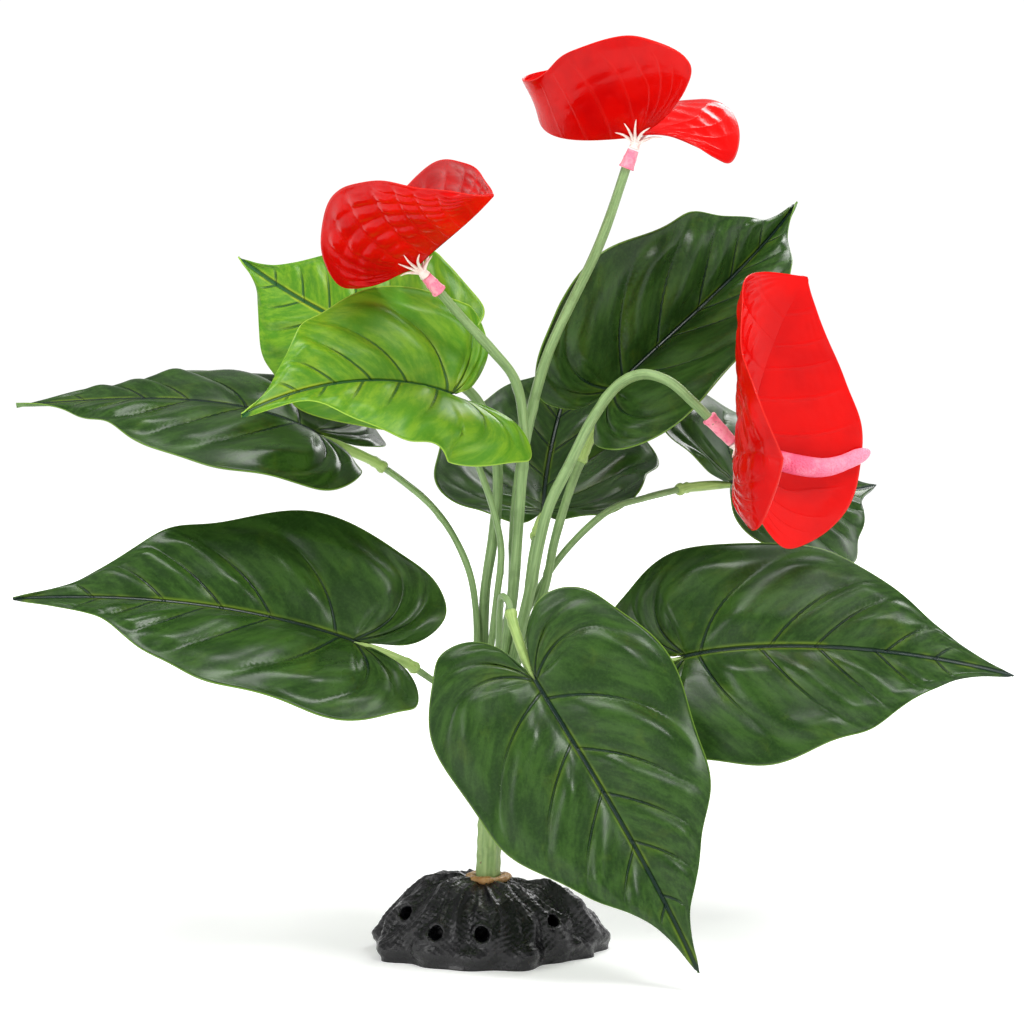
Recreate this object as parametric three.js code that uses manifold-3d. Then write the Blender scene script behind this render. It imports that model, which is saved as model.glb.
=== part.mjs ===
// An artificial anthurium: a moulded plastic plant whose stalk is glued into a lumpy resin rock.
// Millimetres, +Z up. The origin is the middle of the rock's flat underside and the front faces -Y.
import * as THREE from 'three';
import Module from 'manifold-3d';

const wasm = await Module();
wasm.setup();

// ---- driving dimensions ----
const CLEARANCE = 0.3;

const ROCK_WIDTH = 89;
const ROCK_DEPTH = 72;
const ROCK_HEIGHT = 31;
const PORE_DIAMETER = 5.2;
const PORE_DEPTH = 9;

const TRUNK_DIAMETER = 9.4;
const TRUNK_SOCKET_DEPTH = 22;
const HEAD_DIAMETER = 22.4;
const HEAD_BOTTOM = 72;
const HEAD_TOP = 104;
const STEM_SEAT = 92;
const OUTER_SEAT_RADIUS = 7.4;
const INNER_SEAT_RADIUS = 3.3;
const GLUE_WIDTH = 3.2;
const GLUE_HEIGHT = 2.6;

const LEAF_WIDTH = 97;
const GREEN_LEAF_WIDTH = 82;
const LEAF_THICKNESS = 0.8;
const SPATHE_WIDTH = 95;
const SPATHE_THICKNESS = 0.8;

const LEAF_STEM_RADIUS = 1.3;
const THICK_LEAF_STEM_RADIUS = 1.7;
const FLOWER_STEM_RADIUS = 2.0;
const SOCKET_RADIUS = 2.0;
const COLLAR_RADIUS = 2.6;
const COLLAR_LENGTH = 5;
const PLUG_LENGTH = 3.6;
const RIB_RADIUS = 1.1;
const RIB_SHARE = 0.55;

const FERRULE_RADIUS = 2.9;
const CALYX_FINGERS = 8;
const CALYX_REACH = 10;
const FINGER_RADIUS = 0.7;
const SPADIX_RADIUS = 4;

const STEM_SIDES = 8;
const STEM_STEPS = 12;

// ---- materials ----
function paint(color, roughness) {
  return new THREE.MeshStandardMaterial({ color, roughness, metalness: 0 });
}

const RESIN = paint(0x0c0b0e, 0.25);
const GLUE = paint(0xb07a2c, 0.25);
const STALK = paint(0x7d9a52, 0.5);
const STEM = paint(0x7f9c5a, 0.5);
const SOCKET = paint(0x94b35c, 0.5);
const DARK_LEAF = paint(0x2a5522, 0.35);
const GREEN_LEAF = paint(0x6bb02a, 0.4);
const RED = paint(0xe3120b, 0.25);
const PINK = paint(0xf0709c, 0.5);
const IVORY = paint(0xf2d9c8, 0.5);
const SPADIX_PINK = paint(0xf48aac, 0.55);

const group = new THREE.Group();

function add(name, geometry, material) {
  const mesh = new THREE.Mesh(geometry, material);
  mesh.name = name;
  group.add(mesh);
  return mesh;
}

function vec(p) {
  return new THREE.Vector3(p[0], p[1], p[2]);
}

// ---- solids ----
function geometryOf(points, faces) {
  const geometry = new THREE.BufferGeometry();
  const flat = points.flatMap((p) => [p.x, p.y, p.z]);
  geometry.setAttribute('position', new THREE.Float32BufferAttribute(flat, 3));
  geometry.setIndex(faces.flat());
  geometry.computeVertexNormals();
  return geometry;
}

function manifoldOf(geometry) {
  const vertProperties = new Float32Array(geometry.attributes.position.array);
  const triVerts = new Uint32Array(geometry.index.array);
  return new wasm.Manifold(new wasm.Mesh({ numProp: 3, vertProperties, triVerts }));
}

function geometryFrom(manifold) {
  const mesh = manifold.getMesh();
  const geometry = new THREE.BufferGeometry();
  geometry.setAttribute('position', new THREE.Float32BufferAttribute(mesh.vertProperties, 3));
  geometry.setIndex(Array.from(mesh.triVerts));
  geometry.computeVertexNormals();
  return geometry;
}

function cut(geometry, tools) {
  let body = manifoldOf(geometry);
  for (const tool of tools) body = body.subtract(manifoldOf(tool));
  return geometryFrom(body);
}

function join(geometries) {
  let body = manifoldOf(geometries[0]);
  for (const other of geometries.slice(1)) body = body.add(manifoldOf(other));
  return geometryFrom(body);
}

// A round bar swept along a curve. radiusAt gives the radius at each fraction of the length.
function sweep(curve, radiusAt, sides = STEM_SIDES, steps = STEM_STEPS) {
  const frames = curve.computeFrenetFrames(steps, false);
  const points = [];
  for (let i = 0; i <= steps; i += 1) {
    const centre = curve.getPointAt(i / steps);
    const radius = radiusAt(i / steps);
    for (let k = 0; k < sides; k += 1) {
      const angle = (2 * Math.PI * k) / sides;
      const point = centre.clone();
      point.addScaledVector(frames.normals[i], radius * Math.cos(angle));
      point.addScaledVector(frames.binormals[i], radius * Math.sin(angle));
      points.push(point);
    }
  }
  const faces = [];
  for (let i = 0; i < steps; i += 1) {
    for (let k = 0; k < sides; k += 1) {
      const a = i * sides + k;
      const b = i * sides + ((k + 1) % sides);
      faces.push([a, b, b + sides], [a, b + sides, a + sides]);
    }
  }
  const first = points.push(curve.getPointAt(0)) - 1;
  const last = points.push(curve.getPointAt(1)) - 1;
  for (let k = 0; k < sides; k += 1) {
    const next = (k + 1) % sides;
    faces.push([first, next, k]);
    faces.push([last, steps * sides + k, steps * sides + next]);
  }
  return geometryOf(points, faces);
}

function rod(from, to, radius, sides = STEM_SIDES) {
  return sweep(new THREE.LineCurve3(from, to), () => radius, sides, 1);
}

// A sheet given by its middle surface, thickened to both sides and closed round its edge.
function thicken(points, faces, thickness) {
  const normals = points.map(() => new THREE.Vector3());
  for (const [a, b, c] of faces) {
    const normal = new THREE.Vector3().crossVectors(
      points[b].clone().sub(points[a]),
      points[c].clone().sub(points[a]),
    );
    for (const k of [a, b, c]) normals[k].add(normal);
  }
  const count = points.length;
  const half = thickness / 2;
  const upper = points.map((p, k) => p.clone().addScaledVector(normals[k].normalize(), half));
  const lower = points.map((p, k) => p.clone().addScaledVector(normals[k], -half));
  const edges = new Set();
  for (const [a, b, c] of faces) {
    for (const [from, to] of [[a, b], [b, c], [c, a]]) edges.add(`${from},${to}`);
  }
  const solid = [];
  for (const [a, b, c] of faces) solid.push([a, b, c], [a + count, c + count, b + count]);
  for (const edge of edges) {
    const [from, to] = edge.split(',').map(Number);
    if (edges.has(`${to},${from}`)) continue;
    solid.push([to, from, from + count], [to, from + count, to + count]);
  }
  return geometryOf(upper.concat(lower), solid);
}

// ---- heart-shaped blades ----
// Half of the flat heart outline, as shares of the midrib length and of half the width.
const HEART = [
  [-0.05, 0.035], [-0.14, 0.13], [-0.205, 0.34], [-0.2, 0.6], [-0.1, 0.84], [0.04, 0.97],
  [0.2, 1], [0.37, 0.93], [0.53, 0.75], [0.66, 0.5], [0.76, 0.28], [0.83, 0.145], [0.9, 0.07],
  [0.96, 0.03], [1, 0],
];
// A spathe's heart is shorter, with lobes that reach far behind the stem.
const SPATHE_HEART = [
  [-0.08, 0.05], [-0.27, 0.2], [-0.42, 0.41], [-0.48, 0.6], [-0.37, 0.84], [-0.14, 0.99],
  [0.08, 1], [0.3, 0.91], [0.54, 0.69], [0.74, 0.42], [0.87, 0.22], [0.95, 0.08], [1, 0],
];
const FAN_SHARE = 0.36;

// The distance along an arc that turns by angle over its length, as [forward, sideways].
function arc(distance, angle, length) {
  const turn = (angle * distance) / length;
  if (Math.abs(turn) < 1e-4) return [distance, 0];
  const radius = distance / turn;
  return [radius * Math.sin(turn), radius * (1 - Math.cos(turn))];
}

// A blade's frame. side is -1 for the half on the left of the midrib, seen on the face, and 1 for the right.
function bladeFrame(blade) {
  const curve = new THREE.CubicBezierCurve3(...blade.midrib.map(vec));
  const length = curve.getLength();
  const halfWidth = blade.width / 2;
  const radians = (degrees) => (degrees * Math.PI) / 180;
  function at(u, v, side) {
    const t = Math.min(Math.max(u / length, 0), 1);
    const tangent = curve.getTangentAt(t);
    const face = vec(blade.face);
    face.addScaledVector(tangent, -face.dot(tangent)).normalize();
    const across = new THREE.Vector3().crossVectors(tangent, face).multiplyScalar(side);
    const base = curve.getPointAt(t);
    const half = side < 0 ? blade.left : blade.right;
    if (u < 0) {
      const [back, lift] = arc(-u * (half.reach ?? 1), radians(half.lobe), 30);
      base.addScaledVector(tangent, -back).addScaledVector(face, lift);
    }
    const fold = radians(half.fold + (half.turn ?? 0) * t);
    const flare = 1 + (half.flare ?? 0) * THREE.MathUtils.smoothstep(u / length, 0.45, 0.85);
    const reached = v * (half.span ?? 1) * flare;
    const [out, up] = arc(reached, radians(half.curl), halfWidth);
    const ripple = Math.sin((u / length) * 9 + (half.phase ?? 0));
    const wave = (half.wave ?? 0) * (reached / halfWidth) ** 2 * ripple;
    base.addScaledVector(across, out * Math.cos(fold) - up * Math.sin(fold));
    base.addScaledVector(face, out * Math.sin(fold) + up * Math.cos(fold) + wave);
    return base;
  }
  return { curve, length, halfWidth, at };
}

function buildBlade(blade, heart, thickness, rows = 13, columns = 3) {
  const frame = bladeFrame(blade);
  const outline = new THREE.CatmullRomCurve3(heart.map(([u, v]) => new THREE.Vector3(u, v, 0)));
  const points = [];
  const grid = [];
  function keep(point) {
    const found = points.findIndex((p) => p.distanceTo(point) < 1e-3);
    return found >= 0 ? found : points.push(point) - 1;
  }
  for (let i = 0; i <= rows; i += 1) {
    const along = i / rows;
    const edge = outline.getPointAt(along);
    const foot = Math.max(0, (along - FAN_SHARE) / (1 - FAN_SHARE)) ** 1.1;
    const row = [];
    for (let j = -columns; j <= columns; j += 1) {
      const share = Math.abs(j) / columns;
      const bow = 0.1 * share * (1 - share) * (1 - foot);
      const u = frame.length * (foot + (edge.x - foot) * share + bow * (foot > 0 ? 1 : 0));
      const v = frame.halfWidth * Math.max(edge.y, 0) * share;
      row.push(keep(frame.at(u, v, j < 0 ? -1 : 1)));
    }
    grid.push(row);
  }
  const faces = [];
  for (let i = 0; i < rows; i += 1) {
    for (let j = 0; j < 2 * columns; j += 1) {
      const quad = [grid[i][j], grid[i][j + 1], grid[i + 1][j + 1], grid[i + 1][j]];
      const pair = j < columns
        ? [[quad[0], quad[1], quad[2]], [quad[0], quad[2], quad[3]]]
        : [[quad[0], quad[1], quad[3]], [quad[1], quad[2], quad[3]]];
      for (const face of pair) {
        if (new Set(face).size === 3) faces.push(face);
      }
    }
  }
  return { frame, geometry: thicken(points, faces, thickness) };
}

// ---- the rock ----
function lumps(angle, share) {
  const broad = 0.05 * Math.sin(3 * angle + 0.6) + 0.04 * Math.sin(5 * angle + 2.1);
  const small = 0.035 * Math.sin(9 * angle + 5 * share) + 0.03 * Math.sin(14 * angle - 7 * share);
  return 1 + broad + small * (1 - share * 0.5);
}

function buildRock() {
  const around = 40;
  const rings = 9;
  const points = [];
  for (let i = 0; i < rings; i += 1) {
    const share = i / rings;
    for (let k = 0; k < around; k += 1) {
      const angle = (2 * Math.PI * k) / around;
      const rise = Math.sin(share * Math.PI * 0.5);
      const reach = Math.cos(share * Math.PI * 0.5) ** 0.9 * lumps(angle, share) * (i ? 1.02 : 1);
      const ripple = 1 + 0.09 * Math.sin(6 * angle + 3 * share) * share * (1 - share) * 3;
      const slope = 1 - 0.1 * Math.cos(angle) * share - 0.06 * Math.sin(angle) * share;
      points.push(new THREE.Vector3(
        0.5 * ROCK_WIDTH * reach * Math.cos(angle),
        0.5 * ROCK_DEPTH * reach * Math.sin(angle),
        ROCK_HEIGHT * rise * ripple * slope,
      ));
    }
  }
  const top = points.push(new THREE.Vector3(0, 0, ROCK_HEIGHT)) - 1;
  const bottom = points.push(new THREE.Vector3(0, 0, 0)) - 1;
  const faces = [];
  for (let k = 0; k < around; k += 1) {
    const next = (k + 1) % around;
    for (let i = 0; i < rings - 1; i += 1) {
      const a = i * around + k;
      const b = i * around + next;
      faces.push([a, b, b + around], [a, b + around, a + around]);
    }
    faces.push([(rings - 1) * around + k, (rings - 1) * around + next, top]);
    faces.push([bottom, next, k]);
  }
  return geometryOf(points, faces);
}

// Each pore: where its mouth is, and the way it runs into the rock.
const PORES = [
  { mouth: [-34, -19, 20], inward: [0.45, 0.85, -0.3] },
  { mouth: [-20, -34, 14], inward: [0.2, 0.95, -0.1] },
  { mouth: [-1, -38, 14], inward: [0, 1, -0.05] },
  { mouth: [29, -26, 18], inward: [-0.3, 0.9, -0.25] },
  { mouth: [20, 35, 14], inward: [-0.2, -0.95, -0.1] },
  { mouth: [-16, 36, 13], inward: [0.15, -0.95, -0.05] },
];

function pore({ mouth, inward }) {
  const start = vec(mouth);
  const end = start.clone().addScaledVector(vec(inward).normalize(), PORE_DEPTH + 8);
  return rod(start, end, PORE_DIAMETER / 2, 10);
}

// ---- the stalk ----
const TRUNK_FOOT = vec([0.5, -2, ROCK_HEIGHT - TRUNK_SOCKET_DEPTH]);
const TRUNK_LINE = new THREE.CatmullRomCurve3([
  TRUNK_FOOT, vec([1.2, -2, 36]), vec([2.2, -1, 60]), vec([3, 0, 84]), vec([3, 0, HEAD_TOP]),
]);
const HEAD_CENTRE = new THREE.Vector3(3, 0, STEM_SEAT);

function trunkRadius(share, extra = 0) {
  const height = TRUNK_LINE.getPointAt(share).z;
  const foot = 0.6 * Math.max(0, 1 - (height - TRUNK_FOOT.z) / 30);
  const narrow = TRUNK_DIAMETER / 2 + foot;
  const wide = HEAD_DIAMETER / 2;
  const spread = THREE.MathUtils.smoothstep(height, HEAD_BOTTOM - 8, HEAD_BOTTOM + 14);
  const shoulder = 1 - 0.2 * THREE.MathUtils.smoothstep(height, HEAD_TOP - 5, HEAD_TOP);
  return (narrow + (wide - narrow) * spread) * shoulder + extra;
}

// ---- stems: seat is the place in the stalk's head, path the way up to the collar or the flower ----
function seatPoint(ring, degrees) {
  const radius = ring === 'outer' ? OUTER_SEAT_RADIUS : INNER_SEAT_RADIUS;
  const angle = (degrees * Math.PI) / 180;
  return HEAD_CENTRE.clone().add(new THREE.Vector3(radius * Math.cos(angle), radius * Math.sin(angle), 0));
}

function stemCurve(seat, path) {
  return new THREE.CatmullRomCurve3([seatPoint(...seat), ...path.map(vec)], false, 'centripetal');
}

// The front blade stands before the blades beside it, further out the wider the leaves are.
const FRONT_LEAD = 0.2 * LEAF_WIDTH;

const LEAVES = [
  {
    name: 'front',
    radius: LEAF_STEM_RADIUS,
    seat: ['outer', 270],
    path: [[3.5, -8, 104], [5.5, -14, 126], [6, -20, 140], [7, -26, 147], [9.5, -31, 145], [11, -34, 138]],
    midrib: [
      [20, -25.6 - FRONT_LEAD, 116], [35, -33.6 - FRONT_LEAD, 92],
      [60, -50.6 - FRONT_LEAD, 56], [82, -56.6 - FRONT_LEAD, 8],
    ],
    face: [0.1, -1, 0.25],
    left: { fold: 8, curl: -14, lobe: 10, wave: 2, phase: 1 },
    right: { fold: 8, curl: -18, lobe: 12, wave: 2, phase: 2 },
    width: LEAF_WIDTH,
    material: DARK_LEAF,
  },
  {
    name: 'left_low',
    radius: LEAF_STEM_RADIUS,
    seat: ['outer', 225],
    path: [[-4.5, -7, 99], [-10, -11, 104.5], [-18, -16, 110.5], [-30, -24, 120]],
    midrib: [[-52, -28, 130], [-80, -27, 140], [-125, -24, 149], [-185, -28, 146]],
    face: [0, -0.68, 0.73],
    left: { fold: 18, curl: -14, lobe: 0, reach: 1.15, wave: 2, phase: 0 },
    right: { fold: 6, curl: 10, lobe: 8, reach: 1.1, wave: 2, phase: 1 },
    width: LEAF_WIDTH,
    material: DARK_LEAF,
  },
  {
    name: 'left_high',
    radius: LEAF_STEM_RADIUS,
    seat: ['outer', 180],
    path: [[-4, 0, 108], [-3.5, 1, 120], [-3.5, 2.5, 134], [-6, 5, 152], [-13, 8, 168], [-22, 10, 180],
      [-34, 12, 190], [-44, 12, 197]],
    midrib: [[-69, 15, 210], [-105, 18, 228], [-150, 26, 222], [-192, 34, 219]],
    face: [0.05, -0.32, 0.94],
    left: { fold: 0, curl: -14, lobe: 10, wave: 2, phase: 2 },
    right: { fold: 2, curl: -14, lobe: -10, wave: 2, phase: 0 },
    drop: 0.5,
    width: LEAF_WIDTH,
    material: DARK_LEAF,
  },
  {
    name: 'right_low',
    radius: LEAF_STEM_RADIUS,
    seat: ['outer', 0],
    path: [[12, -1, 101], [22, -3, 105.5], [40, -6, 111], [56, -9, 114]],
    midrib: [[80, -14, 122], [110, -22, 130], [160, -24, 128], [209, -22, 115]],
    face: [0, -0.85, 0.52],
    left: { fold: 4, curl: -16, lobe: 10, wave: 2, phase: 0 },
    right: { fold: 4, curl: -12, lobe: 6, wave: 2, phase: 2 },
    drop: 0.3,
    width: LEAF_WIDTH,
    material: DARK_LEAF,
  },
  {
    name: 'back_up',
    radius: THICK_LEAF_STEM_RADIUS,
    seat: ['outer', 45],
    path: [[9.5, 6, 106], [14, 7, 120], [24, 8, 147], [28, 9, 166], [34, 11, 186], [40, 15, 201]],
    midrib: [[52, 25, 226], [72, 36, 246], [108, 58, 272], [132, 95, 302]],
    face: [-0.1, -0.72, 0.68],
    left: { fold: 58, curl: 12, lobe: 0, wave: 2, phase: 1 },
    right: { fold: 20, curl: 6, lobe: 0, wave: 2, phase: 0 },
    width: LEAF_WIDTH,
    material: DARK_LEAF,
  },
  {
    name: 'back_centre',
    radius: LEAF_STEM_RADIUS,
    seat: ['inner', 22.5],
    path: [[7.5, 1.8, 106], [12, 4, 123], [16.5, 7, 142], [18.5, 14, 157], [21, 27, 168]],
    midrib: [[24, 46, 175], [24, 74, 182], [27, 100, 208], [44, 122, 246]],
    face: [0, -0.5, 0.86],
    left: { fold: 12, curl: 10, lobe: 0, wave: 2, phase: 0 },
    right: { fold: 12, curl: 10, lobe: 0, wave: 2, phase: 2 },
    width: LEAF_WIDTH,
    material: DARK_LEAF,
  },
  {
    name: 'back_right',
    radius: LEAF_STEM_RADIUS,
    seat: ['outer', 90],
    path: [[4.5, 8.5, 104], [10, 11, 121], [22, 13, 146], [34, 13, 163], [51, 14, 178], [65, 21, 182],
      [82, 35, 185]],
    midrib: [[103, 46, 187], [120, 74, 187], [150, 116, 173], [173, 148, 178]],
    face: [0.6, -0.37, 0.67],
    left: { fold: 4, curl: -8, lobe: 0, reach: 0.85, wave: 2, phase: 0 },
    right: { fold: 4, curl: -8, lobe: 0, reach: 0.85, wave: 2, phase: 1 },
    width: LEAF_WIDTH,
    material: DARK_LEAF,
  },
  {
    name: 'green_front',
    radius: LEAF_STEM_RADIUS,
    seat: ['inner', 202.5],
    path: [[0.5, -2, 106], [4, -3, 138], [6.5, -3.5, 163], [4, -5, 177], [0, -6, 190], [-5, -8, 203]],
    midrib: [[-13, -12, 226], [-36, -20, 235], [-64, -46, 234], [-92, -62, 220]],
    face: [-0.1, -0.4, 0.9],
    left: { fold: 8, curl: -60, lobe: -5, reach: 1.7, wave: 2, phase: 0 },
    right: { fold: 44, curl: 0, lobe: 40, reach: 0.55, wave: 2, phase: 1 },
    width: GREEN_LEAF_WIDTH,
    material: GREEN_LEAF,
  },
  {
    name: 'green_back',
    radius: FLOWER_STEM_RADIUS,
    seat: ['outer', 135],
    path: [[-2, 5, 104], [-1, 5, 122], [0, 5, 146], [3, 5, 166], [5, 5, 186], [4, 6, 204], [-3, 8, 222],
      [-14, 11, 232]],
    midrib: [[-34, 17, 244], [-58, 34, 252], [-84, 62, 264], [-104, 76, 279]],
    face: [-0.1, -0.9, 0.35],
    left: { fold: 5, curl: -10, lobe: 0, reach: 1.4, wave: 2, phase: 0 },
    right: { fold: 5, curl: -10, lobe: 0, reach: 1.4, wave: 2, phase: 1 },
    width: GREEN_LEAF_WIDTH,
    material: GREEN_LEAF,
  },
];

const FLOWERS = [
  {
    name: 'top',
    seat: ['inner', 112.5],
    path: [[2.5, 3.2, 104], [6, 3, 120], [11, 2, 143], [12, 1, 172], [14.5, 0, 197], [24, -2, 238],
      [46, -4, 286], [57, -6, 318]],
    midrib: [[60, -6, 327], [42, 8, 326], [4, 28, 321], [31, 44, 357]],
    face: [0.15, 0, 0.99],
    left: { fold: 62, curl: 14, lobe: 6, span: 0.84, reach: 0.8 },
    right: { fold: 40, curl: -30, lobe: -60 },
    spadix: [[60.8, -5.2, 333.2], [55.5, 2.5, 340], [47, 11, 347], [36.5, 19, 352]],
  },
  {
    name: 'left',
    seat: ['inner', 292.5],
    path: [[5, -3.6, 104], [8, -4, 122], [11.5, -4.5, 150], [14, -5.5, 184], [15.5, -7, 210], [12, -9, 231],
      [3, -12, 243], [-8, -16, 255], [-20, -20, 269]],
    midrib: [[-26, -22, 276], [-15, -40, 286], [-6, -66, 292], [4, -84, 303]],
    face: [-0.52, 0.13, 0.84],
    left: { fold: 30, curl: 60, lobe: 6, span: 0.86 },
    right: { fold: 57, curl: 24, lobe: -20, span: 0.9, reach: 1.05 },
    spadix: [[-28.3, -20.5, 282], [-24.5, -28, 289], [-17.5, -39, 296], [-10.5, -50, 302]],
  },
  {
    name: 'right',
    seat: ['outer', 315],
    path: [[9, -5.5, 106], [12, -6.2, 122], [18, -8, 148], [25, -10, 180], [33, -12, 197], [43, -15, 217],
      [53, -17.5, 230], [62, -20, 234], [72, -23.5, 231.5], [82, -27, 223], [90, -29.5, 215]],
    midrib: [[101, -29, 205], [106, -28, 228], [112, -27, 252], [126, -25, 272]],
    face: [0.85, -0.52, 0],
    left: { fold: 8, turn: -55, curl: 80, lobe: 34, reach: 0.9, flare: 1.1 },
    right: { fold: 46, curl: 10, lobe: -8 },
    spadix: [[104.5, -32.4, 205], [118, -32, 200], [134, -29, 198], [151, -26, 204]],
  },
];

// The last stretch of a path, as the direction the stem leaves in.
function leaving(curve) {
  return curve.getTangentAt(1);
}

// A leaf's socket: a collar that holds the stem's end, a stub, and the rib under the blade's midrib.
function buildSocket(leaf, curve, frame) {
  const end = curve.getPointAt(1);
  const away = leaving(curve);
  const mouth = end.clone().addScaledVector(away, -PLUG_LENGTH);
  const collar = rod(mouth, mouth.clone().addScaledVector(away, COLLAR_LENGTH), COLLAR_RADIUS, 10);
  const gap = LEAF_THICKNESS / 2 + CLEARANCE + RIB_RADIUS;
  const drop = 0.7 + (leaf.drop ?? 0);
  function below(share) {
    const tangent = frame.curve.getTangentAt(share);
    const face = vec(leaf.face);
    face.addScaledVector(tangent, -face.dot(tangent)).normalize();
    return frame.curve.getPointAt(share).addScaledVector(face, -gap - drop * (1 - share));
  }
  const start = end.clone().addScaledVector(away, CLEARANCE);
  const bend = start.clone().lerp(below(0), 0.5).addScaledVector(away, 3);
  const line = new THREE.CatmullRomCurve3(
    [start, bend, below(0.015), below(0.16), below(0.32), below(0.45), below(RIB_SHARE)],
    false,
    'centripetal',
  );
  const reach = start.distanceTo(below(0)) / line.getLength();
  const slim = (share) => (share < reach
    ? SOCKET_RADIUS
      - (SOCKET_RADIUS - RIB_RADIUS * 1.25) * THREE.MathUtils.smoothstep(share, reach * 0.6, reach)
    : RIB_RADIUS * (1.25 - (share - reach) / (1 - reach)));
  const bore = leaf.radius + CLEARANCE + 0.1;
  const bored = rod(
    mouth.clone().addScaledVector(away, -1),
    end.clone().addScaledVector(away, CLEARANCE),
    bore,
    10,
  );
  return cut(join([sweep(line, slim, 7, 9), collar]), [bored]);
}

const stemClearances = [];

function addStem(name, spec, radiusAt, material) {
  const curve = stemCurve(spec.seat, spec.path);
  add(name, sweep(curve, radiusAt), material);
  const foot = curve.getPointAt(0);
  const below = foot.clone().addScaledVector(curve.getTangentAt(0), -CLEARANCE);
  const wide = CLEARANCE + 0.08;
  stemClearances.push(sweep(curve, (share) => radiusAt(share) + wide));
  stemClearances.push(rod(below, foot.lerp(below, -0.3), radiusAt(0) + wide));
  return curve;
}

for (const leaf of LEAVES) {
  const curve = addStem(`petiole_${leaf.name}`, leaf, () => leaf.radius, STEM);
  const blade = buildBlade(leaf, HEART, LEAF_THICKNESS);
  add(`blade_${leaf.name}`, blade.geometry, leaf.material);
  add(`socket_${leaf.name}`, buildSocket(leaf, curve, blade.frame), SOCKET);
}

// A flower: a pink ferrule over the stem's end, an ivory clip behind the spathe, the spathe and its spadix.
for (const flower of FLOWERS) {
  const shape = { ...flower, width: SPATHE_WIDTH };
  const taper = (share) => FLOWER_STEM_RADIUS + (share < 0.1 ? -0.1 : 0.2 - 0.4 * share);
  const curve = addStem(`flower_stem_${flower.name}`, flower, taper, STEM);
  const spathe = buildBlade(shape, SPATHE_HEART, SPATHE_THICKNESS, 14, 4);
  add(`spathe_${flower.name}`, spathe.geometry, RED);

  const end = curve.getPointAt(1);
  const away = leaving(curve);
  const mouth = end.clone().addScaledVector(away, -PLUG_LENGTH);
  const { frame } = spathe;
  const face = vec(flower.face);
  const tangent = frame.curve.getTangentAt(0);
  face.addScaledVector(tangent, -face.dot(tangent)).normalize();
  const hub = frame.curve.getPointAt(0).addScaledVector(face, -3.2).addScaledVector(tangent, 0.6);
  const up = hub.clone().sub(mouth).normalize();
  const ferruleEnd = mouth.clone().addScaledVector(up, hub.distanceTo(mouth) - 1.9 - CLEARANCE);
  const taperFerrule = (share) => FERRULE_RADIUS - 0.7 * share;
  const bore = rod(
    mouth.clone().addScaledVector(away, -1),
    end.clone().addScaledVector(away, CLEARANCE),
    taper(1) + CLEARANCE,
    10,
  );
  const ferrule = sweep(new THREE.LineCurve3(mouth, ferruleEnd), taperFerrule, 10, 3);
  add(`ferrule_${flower.name}`, cut(ferrule, [bore]), PINK);

  const fingers = [];
  for (let k = 0; k < CALYX_FINGERS; k += 1) {
    const angle = (2 * Math.PI * (k + 0.5)) / CALYX_FINGERS;
    const side = Math.sin(angle) < 0 ? -1 : 1;
    const reach = (distance, lift) => {
      const u = distance * Math.cos(angle);
      const v = distance * Math.abs(Math.sin(angle));
      const here = frame.at(u, v, side);
      const alongU = frame.at(u + 0.2, v, side).sub(here);
      const alongV = frame.at(u, v + 0.2, side).sub(here);
      const out = new THREE.Vector3().crossVectors(alongU, alongV).normalize().multiplyScalar(side);
      return here.addScaledVector(out, lift);
    };
    const lift = SPATHE_THICKNESS / 2 + CLEARANCE + FINGER_RADIUS + 0.25;
    const line = new THREE.CatmullRomCurve3([hub, reach(CALYX_REACH * 0.5, lift), reach(CALYX_REACH, lift)]);
    fingers.push(sweep(line, (share) => FINGER_RADIUS * (1.2 - 0.6 * share), 5, 3));
  }
  const disc = sweep(
    new THREE.LineCurve3(hub.clone().addScaledVector(up, -1.6), hub.clone().addScaledVector(up, 1.2)),
    (share) => 2.2 - 0.6 * share,
    10,
    1,
  );
  add(`calyx_${flower.name}`, join([disc, ...fingers]), IVORY);

  const line = new THREE.CatmullRomCurve3(flower.spadix.map(vec));
  const round = (share) => SPADIX_RADIUS
    * (0.78 + 0.22 * Math.sin(Math.PI * Math.min(1, share * 1.3)))
    * Math.sqrt(Math.max(0.06, 1 - Math.max(0, (share - 0.86) / 0.14) ** 2));
  add(`spadix_${flower.name}`, sweep(line, round, 10, 12), SPADIX_PINK);
}

// ---- stalk, glue and rock ----
const trunk = sweep(TRUNK_LINE, (share) => trunkRadius(share), 14, 14);
add('trunk', cut(trunk, stemClearances), STALK);

const glueInner = TRUNK_DIAMETER / 2 + 0.6 + CLEARANCE;
const gluePlace = TRUNK_LINE.getPointAt((TRUNK_SOCKET_DEPTH - 1) / TRUNK_LINE.getLength());
function glueRing(grow) {
  const profile = [
    [glueInner - grow, -grow], [glueInner + GLUE_WIDTH + grow, -grow],
    [glueInner + GLUE_WIDTH + grow, GLUE_HEIGHT * 0.45], [glueInner + GLUE_WIDTH * 0.4, GLUE_HEIGHT + grow],
    [glueInner - grow, GLUE_HEIGHT + grow], [glueInner - grow, -grow],
  ];
  const steps = 20;
  const ring = new THREE.LatheGeometry(profile.map(([r, z]) => new THREE.Vector2(r, z)), steps);
  ring.rotateX(Math.PI / 2);
  ring.translate(gluePlace.x, gluePlace.y, ROCK_HEIGHT - 1.5);
  return ring;
}

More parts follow.
